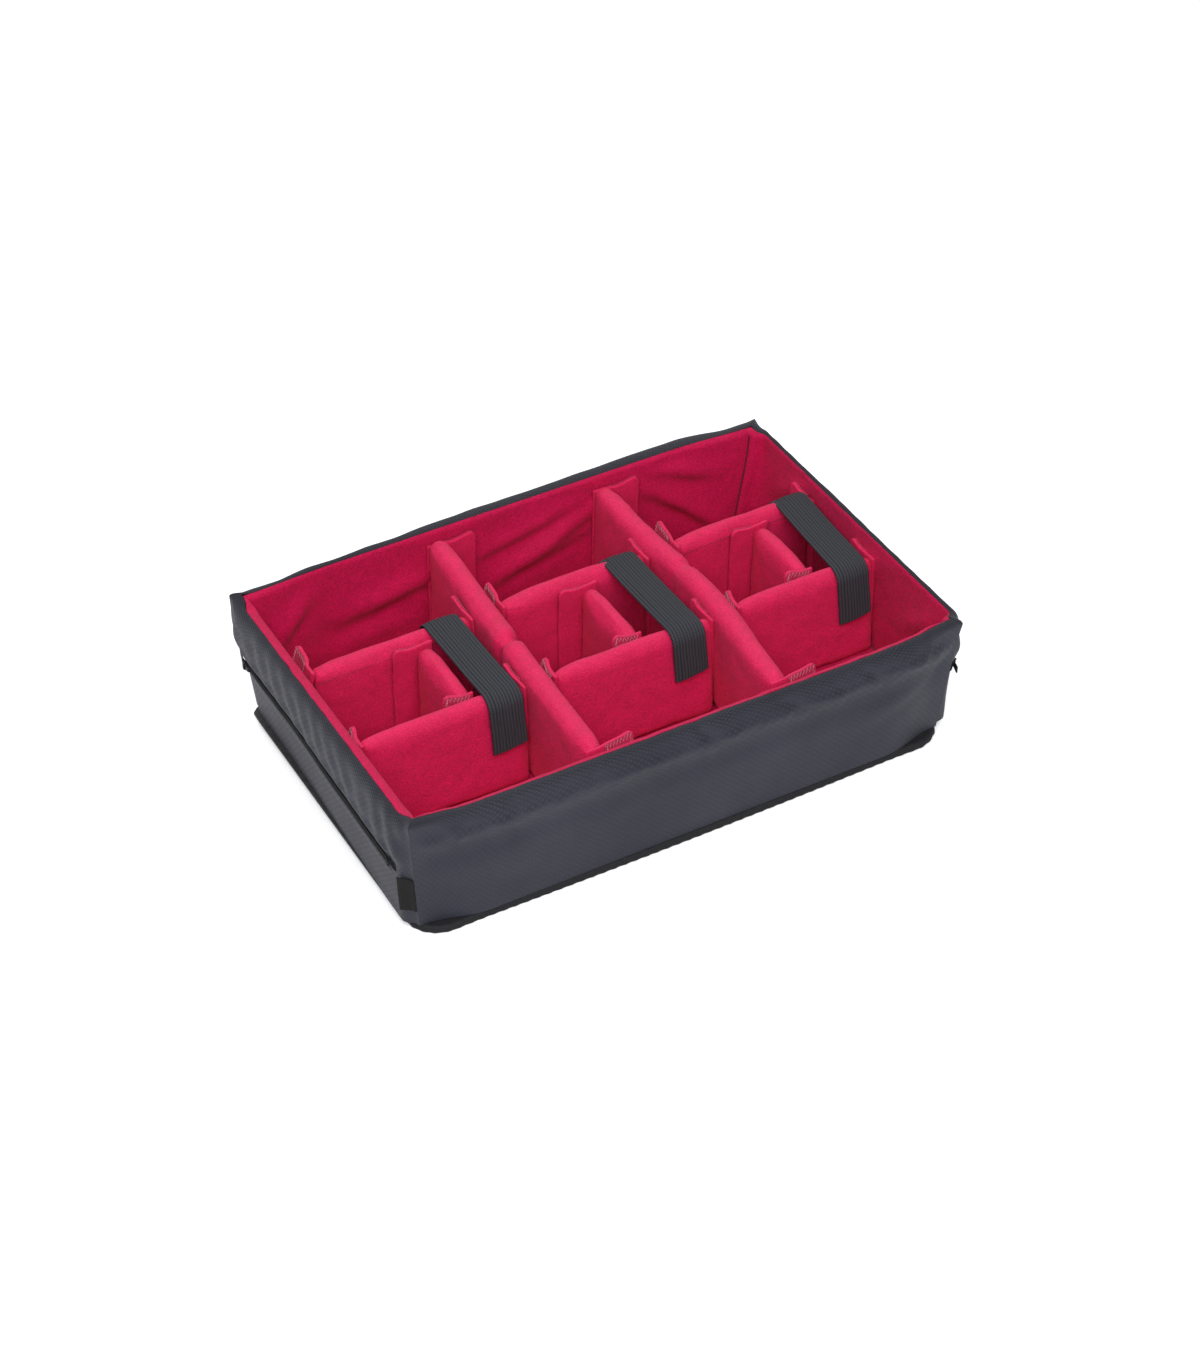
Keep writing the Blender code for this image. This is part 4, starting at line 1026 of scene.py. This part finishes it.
def dressTab(name, body, spot, awayDir, length):
    # hook patch on the side that grips, pale zigzag round it, and red stitches along the fold
    columns, rows = tabStyle["columns"], tabStyle["rows"]
    full = length > tabStyle["zigzagFrom"]
    firstColumn, lastColumn, firstRow = 10 if full else 4, columns - 1, 2
    patch = makeSheet(name + "HookPatch", lastColumn - firstColumn, rows - firstRow,
                      lambda column, row: spot(firstColumn + column, firstRow + row) - awayDir * 0.0003)
    finishSheet(patch, tabStyle["patch"], 0, hookFleece, 50)

    def between(along, up, off):
        # straight between the tab's grid points
        column, row = min(int(along), columns - 1), min(int(up), rows - 1)
        low = spot(column, row).lerp(spot(column + 1, row), along - column)
        high = spot(column, row + 1).lerp(spot(column + 1, row + 1), along - column)
        return low.lerp(high, up - row) + awayDir * off

    perColumn, perRow = length / columns, (spot(0, rows).z - spot(0, 0).z) / rows
    wide, step = tabStyle["zigzagWide"], tabStyle["zigzagStep"]
    grips, wraps = -0.0008, 0.0018
    count = int((lastColumn - firstColumn) * perColumn / step)
    chains = [[between(firstColumn + (lastColumn - firstColumn) * index / count,
                       rows - (0.0004 + wide * (index % 2)) / perRow, grips) for index in range(count)]]
    count = int((rows - firstRow) * perRow / step)
    for column in ([firstColumn + 0.3] if full else []) + [lastColumn - 0.3]:
        inwards = 0.6 * wide / perColumn * (1 if column < columns / 2 else -1)
        chains.append([between(column + inwards * (index % 2),
                               firstRow + (rows - firstRow - 1) * index / count, grips)
                       for index in range(count)])
    zigzag = makeThread(name + "Zigzag", chains, tabStyle["zigzagThread"], paleThread)
    runs = [[between(along, 1 + (rows - 3) * index / 120, wraps) for index in range(121)]
            for along in (firstColumn + 0.5, firstColumn + 2.3, 24.2)]
    runs.append([between(firstColumn + 2.3 + (21.9 - firstColumn) * index / 40, rows - 2.2, wraps)
                 for index in range(41)])
    sewn = sew(name + "Stitches", runs, tabStyle["stitch"], tabStyle["gap"], tabStyle["thread"], redThread)
    for piece in (patch, zigzag, sewn):
        attach(piece, body, "hook_tape")


for side, place in longPlaces.items():
    node, name = side + "_long_divider", side + "LongDivider"
    near, far = dividers["near"] + 0.0070, dividers["far"] - 0.0020
    cover = makeDivider(name, (place["x"], (near + far) / 2), far - near, dividers["longTop"],
                        dividers["longThick"], True, place["seed"], {"side": side, **place})
    attachCover(cover, node, node + "_cover", node + "_front_core", node + "_rear_core")
    for end, y, away, top, lean in (("Front", dividers["near"], 1, 0.0938, 0.0085),
                                    ("Rear", dividers["far"], -1, 0.0912, 0.0012)):
        makeTab(name + end, node, (longX(side, y) - dividers["longHalf"] + 0.001, y), (1, 0), (0, away),
                top, lean, 5.0 + away)
print("long dividers made")

for bay, place in bays.items():
    body = bay + "_bay"
    frontY = dividers["frontY"] + place["frontShift"]
    rearFace = dividers["rearY"] + place["rearShift"] - dividers["rearThick"] / 2
    for row, y in (("rear", dividers["rearY"]), ("front", frontY)):
        isRear = row == "rear"
        node, name = bay + "_" + row + "_divider", bay + row.capitalize() + "Divider"
        left, right = baySpan(bay, y)
        inLeft, inRight = [gap + 0.8 * lean for gap, lean in zip((0.0022, 0.0012), place["leans"][row])]
        cover = makeDivider(name, ((left + right + inLeft - inRight) / 2, y + place["rearShift"] * isRear),
                            right - left - inLeft - inRight, dividers["crossTop"],
                            dividers["rearThick" if isRear else "crossThick"], False,
                            20.0 + 7 * place["lead"] + 3 * isRear, None,
                            place["arch"] if isRear else 0.0006, not isRear)
        attachCover(cover, body, node + "_cover", node + "_core")
        for index, (end, x, away) in enumerate((("Left", left, 1), ("Right", right, -1))):
            makeTab(name + end, body, (x, y - dividers["crossHalf"]), (0, 1), (away, 0),
                    0.0876 if isRear and end == "Left" else 0.0866, place["leans"][row][index],
                    x * 90 + y * 70, place["tabs"][row][index])
        if isRear and bay != "middle":  # the sewn line along the top of the sleeve
            run = [Vector((left + 0.010 + (right - left - 0.020) * step / 300, rearFace - 0.0004,
                           dividers["crossTop"] - 0.0078 + place["arch"] * math.sin(math.pi * step / 300)))
                   for step in range(301)]
            attach(sew(name + "TopSeam", [run], 0.0022, 0.0010, 0.0005, redThread), body, "hook_tape")
    node, name = bay + "_short_divider", bay + "ShortDivider"
    near, far = frontY + dividers["crossThick"] / 2 + 0.0006, rearFace - 0.0008
    cover = makeDivider(name, (place["short"], (near + far) / 2), far - near - 0.0040, dividers["shortTop"],
                        dividers["shortThick"], True, 50.0 + 5 * place["lead"])
    attachCover(cover, node, node + "_cover", node + "_core")
    for end, y, away, top, lean, length in (("Front", near, 1, 0.0850, 0.0034, 0.022),
                                            ("Rear", far, -1, 0.0862, 0.0018, 0.030)):
        makeTab(name + end, node, (place["short"] + 0.0065, y), (-1, 0), (0, away),
                top, lean, place["short"] * 80 + away, length)
print("cross and short dividers made")

# elastic straps, ribbed along their length, with a sewn hook end

strapStyle = {"width": 0.025, "thickness": 0.0014, "columns": 60, "rows": 130, "ribDepth": 0.00042,
              "endPatch": 0.030, "anchorLength": 0.038, "anchorTop": 0.0805, "behind": 0.0012, "top": 0.086,
              "shoulder": 0.0796, "rise": 0.0078, "reach": 0.0088, "sag": 0.0006, "sideIn": 4,
              "hookTop": 0.088, "hookWidth": 0.021, "hookLength": 0.028}
straps = {
    "left": {"rear": -0.0891, "front": -0.0882, "drop": 0.040, "skew": 0.0012},
    "middle": {"rear": 0.0505, "front": 0.0522, "drop": 0.035, "skew": 0.0016},
    "right": {"rear": 0.1912, "front": 0.1866, "drop": 0.040, "skew": 0.0020},
}


def strapLine(drop, behind, front):
    # the middle line in y and z, over the rear divider and down the front one
    shoulder, rise, reach = strapStyle["shoulder"], strapStyle["rise"], strapStyle["reach"]
    rear = dividers["rearY"]
    quarter = [math.radians(degrees) for degrees in range(0, 91, 10)]
    points = [(rear + behind * math.cos(turn), shoulder + rise * math.sin(turn)) for turn in quarter]
    points += [(rear + (front - rear) * step / 30,
                shoulder + rise - strapStyle["sag"] * math.sin(math.pi * step / 30))
               for step in range(1, 30)]
    points += [(front - reach * math.sin(turn), shoulder + rise * math.cos(turn)) for turn in quarter]
    return points + [(front - reach, shoulder + (strapStyle["top"] - drop - shoulder) * step / 16)
                     for step in range(1, 17)]


def resample(points, count):
    lengths = [0.0]
    for first, last in zip(points[:-1], points[1:]):
        lengths.append(lengths[-1] + math.hypot(last[0] - first[0], last[1] - first[1]))
    even = []
    index = 0
    for step in range(count + 1):
        target = lengths[-1] * step / count
        while index < len(lengths) - 2 and lengths[index + 1] < target:
            index += 1
        share = (target - lengths[index]) / (lengths[index + 1] - lengths[index])
        even.append(tuple(a + (b - a) * share for a, b in zip(points[index], points[index + 1])))
    return even, lengths[-1]


def makeRibbon(name, place, points, skew, seed):
    rows, columns = strapStyle["rows"], strapStyle["columns"]
    line, length = resample(points, rows)

    def spot(column, row):
        y, z = line[row]
        before, after = line[max(row - 1, 0)], line[min(row + 1, rows)]
        heading = Vector((0, after[0] - before[0], after[1] - before[1])).normalized()
        across = column / columns
        rib = strapStyle["ribDepth"] * math.sin(2 * math.pi * strapRibs * across)
        edge = softStep(abs(across - 0.5), 0.44, 0.5)
        beat = 0.00028 * math.sin(row * 2.4) * (1 if across > 0.5 else -1) * edge
        cup = -0.0009 * (2 * across - 1) ** 2 + 0.0005 * clothNoise(row * 0.01, across, 0.3, seed)
        forward = min(max((dividers["rearY"] - y) / (dividers["rearY"] - dividers["frontY"]), 0.0), 1.0)
        hanging = softStep(strapStyle["top"] - z, 0.0, 0.040) if y < dividers["frontY"] else 0.0
        x = place["rear"] + (place["front"] - place["rear"]) * forward + skew * hanging
        z += 0.0016 * hanging * (2 * across - 1)
        y -= footPush(z) if hanging > 0 else 0.0
        outward = Vector((0, heading.z, -heading.y))
        plain = Vector((x + strapStyle["width"] * (across - 0.5) + beat, y, z))
        return plain + outward * (rib + 0.0004 + cup)

    ribbon = makeSheet(name, columns, rows, spot, lambda column, row: (column / columns, row * length / rows))
    finishSheet(ribbon, strapStyle["thickness"], -1, elastic, 60)
    return ribbon, spot, length


def sewRibbon(name, body, spot, off, firstRow, lastRow, acrossRows):
    # stitches down both sides of the ribbon and across it
    side, lift = strapStyle["sideIn"], Vector((0, off, 0))
    otherSide = strapStyle["columns"] - side
    runs = [[spot(column, row) + lift for row in range(firstRow, lastRow)] for column in (side, otherSide)]
    runs += [[spot(column, row) + lift for column in range(side, otherSide + 1)] for row in acrossRows]
    attach(sew(name, runs, 0.0022, 0.0011, 0.0006, blackThread), body, "elastic")


for bay, place in straps.items():
    front = dividers["frontY"] + bays[bay]["frontShift"]
    backY = dividers["rearY"] + bays[bay]["rearShift"] + dividers["rearThick"] / 2 + strapStyle["behind"]
    node, rows = bay + "_strap", strapStyle["rows"]
    overDividers = strapLine(place["drop"], backY - dividers["rearY"], front)
    ribbon, spot, length = makeRibbon(bay + "Strap", place, overDividers, place["skew"], place["rear"] * 50)
    attach(ribbon, node, "elastic", node, node + "_hook")
    patchRow = rows - round(strapStyle["endPatch"] / length * rows)
    sewRibbon(bay + "StrapStitches", node, spot, -0.0004, patchRow, rows - 2, (rows - 3,))

    def hookSpot(column, row):
        height = strapStyle["hookTop"] - place["drop"] + strapStyle["hookLength"] * row / 14
        x = place["front"] + 0.7 * place["skew"] + strapStyle["hookWidth"] * (column / 12 - 0.5)
        return Vector((x, front - dividers["crossThick"] / 2 - 0.0012 - footPush(height), height))

    hook = makeSheet(bay + "StrapHook", 12, 14, hookSpot)
    finishSheet(hook, 0.0009, 0, webbing)
    attach(hook, node, "hook_tape")
    upBack = [(backY, strapStyle["anchorTop"] - strapStyle["anchorLength"] * step / 40)
              for step in range(40, -1, -1)]
    anchor, spot, length = makeRibbon(bay + "StrapAnchor", place, upBack, 0.0, 4.0)
    attach(anchor, bay + "_bay", "elastic", node + "_anchor")
    sewRibbon(bay + "AnchorStitches", bay + "_bay", spot, 0.0004, 6, 96, (6, 96))
print("straps made")

# zips along the two ends, each with a slider and a pull

zipStyle = {"width": 0.0016, "tooth": 0.0013, "columns": 660, "rows": 12, "proud": 0.0030, "ridge": 0.0007,
            "tape": 0.0005, "edgeRows": 6.5, "gapShadeThickness": 0.0021, "tackThread": 0.0009, "tackHalf": 0.0036,
            "slider": 0.0015, "sliderProud": 0.0026, "sliderNarrow": 0.62, "bailRadius": 0.0030,
            "bailWire": 0.00055, "pullTurn": 16, "pullWaist": 0.28}


def makeCoil(side):
    columns, rows = zipStyle["columns"], zipStyle["rows"]

    def spot(column, row):
        reach = column / columns
        share = reach * zipLine["near"] - (1 - reach) * zipLine["far"]
        offset = (row / rows - 0.5) * zipStyle["width"]
        turn = 2 * math.pi * (share * walls[side]["halfAlong"]) / zipStyle["tooth"]
        turn += 2.2 if offset > 0 else 0.0
        tooth = 0.5 + 0.5 * math.sin(turn)
        ridge = zipStyle["ridge"] * bump(offset, 0.0, 0.0007) * (0.55 + 0.45 * tooth)
        return clothSpot(side, share, zipLine["height"] + offset, zipStyle["proud"] + ridge)

    strip = makeSheet(side + "ZipCoil", columns, rows, spot)
    finishSheet(strip, zipStyle["tape"], -1, zipCoil, 70)
    attach(strip, "tray", "zip_coil", side + "_zip_coil")
    # dark tubes along both edges of the tape: painted shade of the gaps under the cloth on either side
    gapShadeLines = [[spot(column, row) for column in range(0, columns + 1, 6)]
            for row in (-zipStyle["edgeRows"], rows + zipStyle["edgeRows"])]
    attach(makeThread(side + "ZipGapShade", gapShadeLines, zipStyle["gapShadeThickness"], gapShadeAndTackBlack), "tray", "zip_coil")


def makeSlider(side, out):
    # returns its centre, its face against the cloth and how far it moved there from the CAD's place
    low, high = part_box(side + "_zip_slider")
    centre = Vector([(a + b) / 2 for a, b in zip(low, high)])
    face = high[0] if side == "left" else low[0]
    share = walls[side]["along"][1] * centre.y / walls[side]["halfAlong"]
    settle = clothSpot(side, share, centre.z).x + out * zipStyle["sliderProud"] - face
    face += settle
    clearSelection()
    bpy.ops.mesh.primitive_cube_add(size=1, scale=(zipStyle["slider"], high[1] - low[1], high[2] - low[2]),
                                    location=(face + out * zipStyle["slider"] / 2, centre.y, centre.z))
    body = nameIt(side + "ZipSlider")
    applyPlace(body)
    selectWhere(body, "FACE", lambda spot, normal: normal.x * out > 0.9)
    bpy.ops.mesh.inset(thickness=0.0010, depth=0.0005)
    setMode("OBJECT")
    for vert in body.data.vertices:  # narrow towards the closed end
        if (vert.co.y - centre.y) * out > 0:
            vert.co.z = centre.z + (vert.co.z - centre.z) * zipStyle["sliderNarrow"]
    roundEdges(body, 0.00045, 3)
    clearSelection()
    bpy.ops.mesh.primitive_torus_add(major_segments=28, minor_segments=8, major_radius=zipStyle["bailRadius"],
                                     minor_radius=zipStyle["bailWire"], rotation=(math.pi / 2, 0, 0),
                                     location=(face + out * 0.0012, centre.y, centre.z))
    bail = nameIt(side + "ZipBail")
    applyPlace(bail)
    selectWhere(bail, "VERT", lambda co: (co.x - face - out * 0.0006) * out < 0)
    bpy.ops.mesh.delete(type="VERT")
    bpy.ops.mesh.select_all(action="SELECT")
    bpy.ops.mesh.fill_holes(sides=0)
    setMode("OBJECT")
    for vert in bail.data.vertices:  # low over the slider
        vert.co.x = face + (vert.co.x - face) * 0.72
    pick(body)
    bail.select_set(True)
    bpy.ops.object.join()
    slider = nameIt(side + "ZipSlider")
    facesOut(slider)
    dress(slider, zipMetal)
    attach(slider, side + "_zip_slider", "zip_metal", side + "_zip_slider")
    return centre, face, settle


def makePull(side, out, hinge, settle):
    # a flat tag with an eye at the slider's bail, turned back against the cloth of the corner
    low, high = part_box(side + "_zip_pull")
    centre = Vector([(a + b) / 2 for a, b in zip(low, high)])
    eye = low[1] if side == "left" else high[1]
    eyeFrom, eyeTo, waistAt = 0.0012, 0.0048, 0.0075
    clearSelection()
    bpy.ops.mesh.primitive_cube_add(size=1, scale=[b - a for a, b in zip(low, high)],
                                    location=(centre.x + settle, centre.y, centre.z))
    pull = nameIt(side + "ZipPull")
    applyPlace(pull)
    cuts = [((0, eye - out * place, 0), (0, 1, 0)) for place in (eyeFrom, eyeTo, waistAt)]
    cuts += [((0, 0, centre.z + place), (0, 0, 1)) for place in (-0.0014, 0.0014)]
    for place, normal in cuts:
        editAll(pull)
        bpy.ops.mesh.bisect(plane_co=place, plane_no=normal)
    selectWhere(pull, "FACE", lambda spot, normal: abs(normal.x) > 0.9 and abs(spot.z - centre.z) < 0.0013
                and eyeFrom < (eye - spot.y) * out < eyeTo)
    bpy.ops.mesh.bridge_edge_loops()
    setMode("OBJECT")
    for vert in pull.data.vertices:
        waist = bump((eye - vert.co.y) * out, waistAt, 0.003)
        vert.co.z = centre.z + (vert.co.z - centre.z) * (1 - zipStyle["pullWaist"] * waist)
    roundEdges(pull, 0.0003, 2)
    editAll(pull)
    bpy.ops.transform.rotate(value=math.radians(zipStyle["pullTurn"]), orient_axis="Z", center_override=hinge)
    facesOut(pull)
    dress(pull, zipMetal)
    attach(pull, side + "_zip_pull", "zip_metal", side + "_zip_pull")


for side, out in (("left", -1), ("right", 1)):
    makeCoil(side)
    centre, face, settle = makeSlider(side, out)
    makePull(side, out, Vector((face + out * 0.0010, centre.y, 0)), settle)

# bar tacks that close off the zips' ends
for side in ("left", "right"):
    chains = []
    for end, begin, length in ((1, zipLine["near"] - 0.004, 0.060), (-1, zipLine["far"] + 0.030, 0.030)):
        count = round(length / 0.0020)
        chains.append([clothSpot(side, end * (begin + length * index / count),
                                 zipLine["height"] + zipStyle["tackHalf"] * (1 if index % 2 else -1), 0.0003)
                       for index in range(count)])
    attach(makeThread(side + "BarTacks", chains, zipStyle["tackThread"], gapShadeAndTackBlack), "tray", "zip_coil")

# bare label folded over at the near corner of the left end
label = {"from": 0.875, "to": 0.992, "low": 0.020, "high": 0.050, "thickness": 0.0009, "curl": 0.0012,
         "columns": 18, "rows": 30}


def labelSpot(column, row):
    across = column / label["columns"]
    share = label["from"] + (label["to"] - label["from"]) * across
    height = label["low"] + (label["high"] - label["low"]) * row / label["rows"]
    curl = label["curl"] * bump(across, 0.0, 0.25) + 0.0003 * clothNoise(share, height, 0.01, 2.0)
    return clothSpot("left", share, height, 0.0003 + curl)


labelTab = makeSheet("labelTab", label["columns"], label["rows"], labelSpot)
thicken(labelTab, label["thickness"], 1)
roundEdges(labelTab, 0.0003, 2)
dress(labelTab, labelCloth, 50)
attach(labelTab, "tray", "woven_label", "label_tab")
print("zips and label made")

# what each tray piece rides on and stands for; the base board keeps its CAD shape
hiddenInWalls = [side + part for side in walls for part in ("_wall_pad", "_wall_board")]
for piece, slotName, nodes in ((outerSkin, "ripstop", ["outer_skin"] + hiddenInWalls),
                               (wallLining, "red_fleece", ["wall_lining"]),
                               (floorLining, "red_fleece", ["floor_lining", "floor_pad"]),
                               (baseCover, "base_fabric", ["base_panel"]),
                               (baseBinding, "base_fabric", ["base_binding"])):
    attach(piece, "tray", slotName, *nodes)
giveFinish(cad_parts["base_board"], board)

# studio: white floor that glows a little to the camera, soft light from behind and in front

studio = {"world": 0.46, "key": 11.5, "fill": 41.0, "floorGlow": 0.34, "floorSize": 9}

clearSelection()
bpy.ops.mesh.primitive_plane_add(size=studio["floorSize"], location=(0, 0, -0.0001))
floor = nameIt("studioFloor")
floorFinish, tree, shader = startMaterial("studioFloor", 0.9, Specular_IOR_Level=0.1,
                                          Emission_Color=(1, 1, 1, 1))
mottle = addNoise(tree, coordinates(tree, "Object"), 6.0)
tint(tree, shader, mottle, (0.85, 0.85, 0.865), (0.87, 0.87, 0.88))
toCamera = tree.nodes.new("ShaderNodeLightPath").outputs["Is Camera Ray"]
tree.links.new(addMath(tree, "MULTIPLY", toCamera, studio["floorGlow"]), shader["Emission Strength"])
giveFinish(floor, floorFinish)

world = bpy.data.worlds.new("studioWorld")
scene.world = world
world.use_nodes = True
sky = world.node_tree.nodes["Background"]
sky.inputs["Color"].default_value = (0.97, 0.98, 1.0, 1)
sky.inputs["Strength"].default_value = studio["world"]


def addSoftbox(name, place, size, power):
    lamp = bpy.data.lights.new(name, "AREA")
    lamp.shape = "RECTANGLE"
    lamp.size, lamp.size_y = size
    lamp.energy = power
    holder = bpy.data.objects.new(name, lamp)
    scene.collection.objects.link(holder)
    holder.location = place
    holder.rotation_mode = "QUATERNION"
    holder.rotation_quaternion = Vector(place).to_track_quat("Z", "Y")


addSoftbox("backSoftbox", (0.30, 1.30, 1.35), (1.6, 1.0), studio["key"])
addSoftbox("frontSoftbox", (-0.60, -1.15, 1.70), (1.7, 1.1), studio["fill"])
print("studio made")
